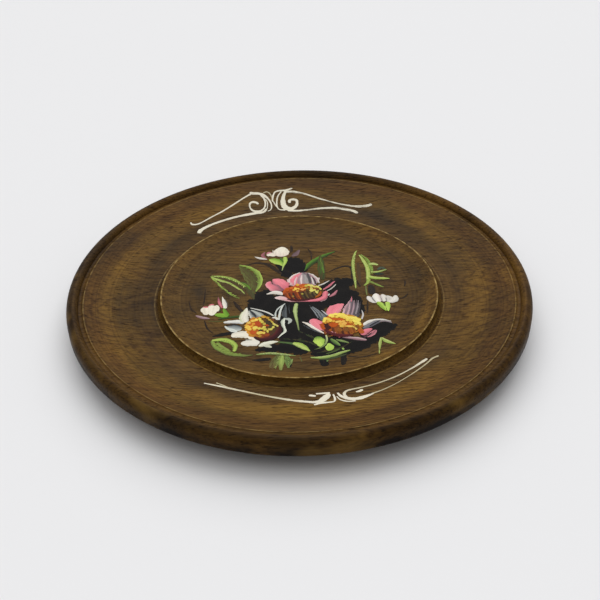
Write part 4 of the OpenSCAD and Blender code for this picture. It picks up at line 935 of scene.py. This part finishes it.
stroke([(-24.7, -16.2, 0.8), (-24.7, -19, 6.6), (-24.7, -26.2, 9.3), (-24.7, -33.4, 6.4),
        (-24.7, -36.3, 0.8)], ["#3c2417", "#4a3820", "#5a3a1c", "#a8501a", "#c87820", "#dd9a34"], 4,
       tip="#3a1316")
stroke([(-30.6, -32.6, 0.6), (-27.6, -35.6, 1.4), (-22, -35.6, 1.7), (-18.4, -32.8, 1.7),
        (-16.3, -28.6, 1.3), (-16.4, -25.4, 0.5)], ["#5a2420", "#3a1417", "#2c1013"], 5)
for x, y, lean, long, wide, shade in (
        (-26.8, -22, 110, 3.4, 1.5, "#b2471a"), (-30.6, -28.6, 110, 3.2, 1.2, "#bb531d"),
        (-28.8, -18.2, 10, 2.6, 0.9, "#c9701f"), (-30.6, -21.8, 40, 1.8, 0.8, "#c0601e"),
        (-22.4, -24.6, 150, 2.2, 0.7, "#ab4a1b"), (-18.9, -20.6, 110, 2.2, 1.0, "#70401a"),
        (-23.8, -32.6, 20, 2.4, 1.1, "#8f431c"), (-21, -22.4, 100, 3.4, 1.2, "#3d3220"),
        (-20.4, -25.6, 80, 2.4, 1.0, "#463c22")):
    dab(x, y, lean, long, wide, shade, 6)
for x, y, lean, long, wide, shade in (
        (-28.6, -19.2, 5, 2.4, 0.8, "#e8bf52"), (-31.3, -20.4, 60, 1.8, 0.7, "#e0b75c"),
        (-26.9, -18.7, 10, 1.6, 0.7, "#efcf5c"), (-25, -19, 95, 3.0, 0.65, "#d6c552"),
        (-24.2, -21.2, 80, 2.0, 0.6, "#c7b44a"), (-22.8, -16.9, 150, 2.2, 0.7, "#c99a3a"),
        (-20.9, -18.2, 130, 1.8, 0.6, "#b88a34"), (-32.4, -24, 80, 2.4, 1.1, "#ecc452"),
        (-31.8, -26, 40, 1.8, 0.8, "#e9bd4e"), (-33, -22.4, 70, 1.6, 0.6, "#dfa83e"),
        (-30.2, -23.6, 50, 1.4, 0.6, "#e3a23a"), (-28.8, -25.4, 20, 2.4, 1.0, "#e2cf5e"),
        (-27, -26.4, 160, 1.8, 0.7, "#d8c556"), (-29.4, -26.8, 120, 1.4, 0.6, "#e0b24a"),
        (-25.2, -26.8, 40, 1.8, 0.6, "#cfc052"), (-24, -25.8, 100, 1.6, 0.6, "#d2c756"),
        (-24, -28, 60, 1.8, 0.6, "#c9bd50"), (-27.2, -30.2, 10, 2.6, 0.9, "#e3c659"),
        (-25.2, -30.6, 30, 1.6, 0.7, "#dcc052"), (-23, -29.8, 95, 2.0, 0.5, "#cfc254"),
        (-22, -28.4, 80, 1.6, 0.5, "#bfae4a"), (-20.8, -28.4, 30, 1.8, 0.6, "#c9bd57"),
        (-19.4, -27, 70, 1.6, 0.6, "#cbc15c"), (-18.4, -24.8, 120, 2.0, 0.5, "#cfc461"),
        (-17.2, -26.2, 110, 1.6, 0.45, "#d2c768"), (-19.2, -22.4, 110, 2.2, 0.45, "#bfa744"),
        (-20.2, -20.2, 120, 1.8, 0.45, "#b3983c"), (-27.6, -33, 20, 1.6, 0.6, "#b08a32"),
        (-29, -22, 140, 1.4, 0.6, "#d99a36"), (-28.4, -16.9, 10, 1.8, 0.5, "#c98c34"),
        (-30.6, -25, 10, 1.2, 0.5, "#c76a22"), (-26.4, -28.2, 20, 2.0, 0.5, "#3f3420"),
        (-23.4, -23.2, 60, 1.6, 0.5, "#c2ab46")):
    dab(x, y, lean, long, wide, shade, 8)
lay_film("white_flower_centre_paint", "white_flower_centre", flower_paint)


# ---- The lower flower --------------------------------------------------------------------
# Pink petals in front and to the left, ribbed mauve and grey ones behind, and the fullest
# heart: bright yellow dabs over orange, with dark red in its shade.
stroke([(7.2, -27, 3), (6.4, -20.6, 3.2), (4.6, -15.4, 1.9), (3, -11.6, 0.3)],
       ["#2f3334", "#454a4c", "#5a5f61", "#73787a", "#3d4143"], dry=0.12)
for bend in (0.6, 1.9, 3.1):
    stroke([(4.6 + bend * 1.2, -24, 0.2), (4 + bend * 1.1, -19, 0.35), (3.2 + bend * 0.5, -13.6, 0.15)],
           "#878c8e", 2, dry=0.35)
stroke([(10.7, -23, 0.3), (9.8, -20.6, 0.45), (8.4, -17.8, 0.15)], "#b5b3b0", 2, dry=0.15)
stroke([(-3.8, -27.8, 0.4), (-1.6, -31, 0.8), (1.4, -34.4, 0.8), (4, -37.2, 0.2)], "#46494b", dry=0.2)
stroke([(7.2, -35.4, 1.5), (4.8, -31.2, 3), (2.7, -27, 2.9), (1.6, -24.2, 1.4)],
       ["#e0959c", ROSE, "#ed8994", "#d3707c"], 2)
stroke([(-3.6, -25.6, 0.25), (-1.2, -28, 0.8), (1.2, -32, 0.8), (4.4, -36.4, 0.5), (6, -38.2, 0.15)],
       ["#efe8dc", "#d9cfc0"], 3)
stroke([(23.4, -29, 4.6), (24, -22, 4.6), (25.2, -17, 3.2), (26.3, -12.4, 0.8), (27, -10, 0.2)],
       ["#c99da2", "#8f7a80", "#75696e", "#5b5256", "#3f3a3e"], 2)
stroke([(12.2, -24.6, 2.4), (14.6, -19.6, 3.6), (18.4, -16.4, 2.5), (21.4, -14.9, 0.4)],
       ["#e88a94", ROSE, "#ee8b95", "#d18a92"], 3)
for x, reach, shade in ((18.4, 5.8, "#d5aeb0"), (20, 8.4, "#93777c"), (21.4, 10.4, "#c8a3a7"),
                        (22.8, 11.2, "#6d5b62"), (23.8, 12.6, "#a98d93"), (25, 12.6, "#5c5257"),
                        (26, 12, "#948a8d"), (27, 10.4, "#4b4549")):
    stroke([(x - 0.6, -25.4, 0.4), (x + reach * 0.16, -25.4 + reach * 0.5, 0.5),
            (x + reach * 0.2 + 1.4, -25.4 + reach, 0.15)], shade, 4, dry=0.3)
stroke([(25.8, -14, 0.3), (26.6, -11.6, 0.3), (27.1, -9.4, 0.1)], "#c9737e", 5)
stroke([(27.4, -30.4, 0.5), (29.1, -26.6, 0.45), (29.4, -22.4, 0.15)], "#c6c2be", 5, dry=0.15)
stroke([(26.4, -38.2, 1.3), (31, -36.4, 2.0), (35.4, -34, 1.5), (37.6, -32.6, 0.3)],
       ["#85858a", "#66666b", "#4c4c52"], dry=0.1)
stroke([(35.6, -33.6, 0.6), (39.6, -34.2, 0.9), (42.2, -36.6, 0.2)], ["#a9a09f", "#85777b"], 2,
       dry=0.2)
stroke([(30, -36.8, 0.3), (33.6, -34.8, 0.4), (37.4, -33, 0.2)], "#2f3035", 3)
stroke([(26.8, -35.6, 0.9), (30, -33.5, 1.1), (34, -32.4, 0.7), (38, -33, 0.5), (42.2, -35.4, 0.15)],
       ["#dfdacf", "#e6e2d8", "#b5b0a8"], 4)
stroke([(26, -45.2, 0.6), (29.2, -43.8, 1.5), (32.6, -40.8, 0.7)], ["#db858e", "#8a565e", "#d88a92"],
       2)
stroke([(24.2, -43.4, 1.5), (27, -40.9, 1.9), (30.8, -39.4, 0.6)], [ROSE, "#dd7c87", "#a8606a"], 3)
stroke([(24.4, -45.8, 0.5), (27.4, -44.4, 0.6), (29.6, -42.6, 0.2)], "#4a3339", 4)
stroke([(12.4, -41.8, 0.5), (17, -44, 0.9), (21.6, -46, 1.2), (25.6, -48, 0.7)],
       ["#cbb5b3", "#a57d82", "#6a5257"], 2, dry=0.1)
stroke([(6.4, -36.6, 0.6), (9.2, -38.1, 1.1), (11.3, -40.4, 0.9), (12.8, -43, 0.4)],
       ["#efb0b3", "#dd7883", "#a34d58"], 5)
lay_film("lower_flower_petals_paint", "lower_flower_petals", flower_paint)

stroke([(18.6, -22.8, 0.8), (17.9, -25.6, 7.6), (16.2, -32.6, 11), (14.5, -39.6, 7.4),
        (13.8, -42.4, 0.8)], ["#b8761f", "#a8601c", "#8a4c1a", "#8a4416", "#a8480f"], 4,
       foot="#dba53a", tip="#44191a")
for i in range(13):
    side = 6.4 + i * 1.5
    shade = ("#7d4216", "#431f14", "#9a5218", "#5a2c14", "#8c4c1a")[i % 5]
    top = -34.4 + (0.4 if i % 2 else -0.4)
    fall = 8.4 * math.sqrt(max(0.06, 1 - ((side - 15.4) / 11.4) ** 2))
    stroke([(side, top, 0.5), (side - 0.4, top - fall * 0.4, 0.6), (side - 0.3, top - fall * 0.88, 0.4)],
           shade, 5, dry=0.25)
stroke([(6.4, -34.6, 0.5), (8.4, -38, 1.1), (12, -41, 1.3), (16.4, -42.2, 1.0), (20, -42.4, 0.4)],
       ["#5a1c20", "#48151a"], 6)
for x, y, lean, long, wide, shade in (
        (8, -32.6, 90, 4.4, 1.5, "#3d1712"), (6.2, -32.4, 95, 3.8, 0.9, "#b04d16"),
        (11.8, -31.8, 100, 3.4, 1.7, "#b5500f"), (11, -24.9, 20, 2.4, 0.7, "#c8641c"),
        (13.4, -26.8, 0, 2.6, 0.9, "#c25a16"), (16.5, -28.2, 150, 3.2, 1.0, "#c15c17"),
        (19.4, -33.2, 120, 2.8, 1.2, "#b35314"), (24.6, -40.4, 95, 3.2, 1.2, "#ab561d"),
        (22.6, -36.8, 70, 3.2, 1.2, "#7a4a1a"), (17.4, -37.4, 95, 3, 1.2, "#7c4c1c"),
        (25.8, -34.8, 100, 2, 0.8, "#a8681d"), (14, -36.6, 95, 3, 0.9, "#8a521b")):
    dab(x, y, lean, long, wide, shade, 6)
for x, y, lean, long, wide, shade in (
        (7.8, -27.6, 70, 2.4, 0.8, "#ecd257"), (8.8, -26, 60, 2.0, 0.8, "#f2da5e"),
        (10.2, -26.4, 100, 2.0, 0.7, "#e6c850"), (11, -28, 90, 2.2, 0.8, "#e5c14a"),
        (12.4, -23.7, 20, 2.4, 0.8, "#f4dd62"), (14.6, -23.3, 0, 2.4, 0.9, "#f5e068"),
        (13, -25, 40, 1.8, 0.7, "#efd355"), (16.6, -23.9, 170, 2.4, 0.9, "#f3dc60"),
        (18.6, -24.4, 150, 2.2, 0.9, "#eed65c"), (15.4, -25.6, 20, 2.2, 0.7, "#ecd056"),
        (17.4, -25.9, 160, 2.2, 0.8, "#e9cf55"), (19.6, -26, 130, 2.2, 0.9, "#f0d95f"),
        (20.9, -27.7, 110, 2.4, 0.9, "#eed75f"), (18.9, -27.5, 120, 1.8, 0.7, "#e6c54e"),
        (22.6, -28.2, 130, 2.4, 0.8, "#efda62"), (24.4, -29, 140, 2.2, 0.9, "#f0dc66"),
        (25.6, -30.6, 110, 2.2, 0.9, "#ecd862"), (23.6, -31, 110, 2.6, 0.9, "#efdc62"),
        (24.8, -32.8, 100, 2.4, 0.9, "#ebda66"), (23.4, -33.6, 90, 2.0, 0.7, "#dfcb59"),
        (25.4, -34.8, 80, 1.6, 0.6, "#e3cf5c"), (21.4, -30.2, 90, 2.4, 0.7, "#dfc04c"),
        (20, -29.6, 60, 1.8, 0.7, "#e8c850"), (14.8, -29.9, 10, 2.6, 0.7, "#e6b85a"),
        (17, -30.4, 10, 2.4, 0.7, "#e4b04e"), (15.4, -32, 60, 2.0, 0.7, "#dfa544"),
        (17.6, -32.2, 20, 2.4, 0.8, "#e3ae52"), (15.8, -34, 20, 2.0, 0.8, "#dcb04a"),
        (17.6, -34.4, 100, 1.6, 0.6, "#d09c3e"), (19.6, -35.1, 165, 2.8, 0.6, "#e4c05a"),
        (21.4, -35.9, 130, 1.8, 0.5, "#d9b650"), (22.4, -37.6, 100, 2.0, 0.4, "#d8b858"),
        (21, -32, 70, 1.6, 0.6, "#d89a36"), (9.6, -28.6, 110, 1.6, 0.6, "#dca83e"),
        (12.6, -29, 60, 1.6, 0.6, "#dba23a"), (8, -29.4, 90, 1.4, 0.5, "#cf922f"),
        (19.4, -31.6, 90, 1.6, 0.5, "#b5681e"), (22.4, -34.6, 80, 1.4, 0.5, "#c98a30")):
    dab(x, y, lean, long, wide, shade, 8)
lay_film("lower_flower_centre_paint", "lower_flower_centre", flower_paint)


# ---- The floor, light and camera ---------------------------------------------------------
# A plain pale table, two broad soft lights, one behind the plate and one overhead, an even
# white sky, and the camera on the near side looking down at about 35 degrees.
TABLE_WIDE = 6  # metres
bpy.ops.mesh.primitive_plane_add(size=TABLE_WIDE, location=(0, 0, 0))
table = bpy.context.object
table.name = "table"
cover = Tree("pale_table")
cover.shader.inputs["Base Color"].default_value = (0.80, 0.80, 0.81, 1)
cover.shader.inputs["Roughness"].default_value = 0.7
table.data.materials.append(cover.material)

sky = bpy.data.worlds.new("studio")
sky.use_nodes = True
sky.node_tree.nodes["Background"].inputs["Color"].default_value = (1, 1, 1, 1)
sky.node_tree.nodes["Background"].inputs["Strength"].default_value = 0.39
bpy.context.scene.world = sky


def window(name, bearing, height, strength, spread):
    """A broad soft light far off: bearing is degrees to the right of straight behind the plate,
    height is its angle over the table and spread is how wide it looks."""
    bpy.ops.object.light_add(type="SUN")
    lamp = bpy.context.object
    lamp.name = name
    lamp.data.energy = strength
    lamp.data.angle = math.radians(spread)
    turn, tilt = math.radians(bearing), math.radians(height)
    place = Vector((math.sin(turn) * math.cos(tilt), math.cos(turn) * math.cos(tilt),
                    math.sin(tilt)))
    lamp.rotation_euler = place.to_track_quat("Z", "Y").to_euler()


window("back_window", 20, 54, 1.25, 64)
window("overhead", -30, 82, 1.0, 90)

VIEW_TURN = math.radians(11)
VIEW_DOWN = math.radians(35.34)
VIEW_FAR = 0.600     # metres from the camera to the rim's level on the axis
LOOK_NEAR = 0.0135   # metres that the camera aims short of the axis
SENSOR_WIDE = 36     # millimetres
LENS = 66.36         # millimetres
SIDE_SHIFT = 0.0012  # share of the frame
aim = Vector((0, 0, RIM_OUT_H * MM))
back = Vector((-math.sin(VIEW_TURN), -math.cos(VIEW_TURN), 0))
eye = aim + back * VIEW_FAR * math.cos(VIEW_DOWN) + Vector((0, 0, VIEW_FAR * math.sin(VIEW_DOWN)))
look = aim + back * LOOK_NEAR
bpy.ops.object.camera_add(location=eye)
camera = bpy.context.object
camera.name = "camera"
ROLL = math.radians(-1.14)
turn = (look - eye).to_track_quat("-Z", "Y").to_matrix() @ Matrix.Rotation(ROLL, 3, "Z")
camera.rotation_euler = turn.to_euler()
camera.data.sensor_width = SENSOR_WIDE
camera.data.lens = LENS
camera.data.shift_x = SIDE_SHIFT
bpy.context.scene.camera = camera
bpy.context.scene.view_settings.view_transform = "Standard"
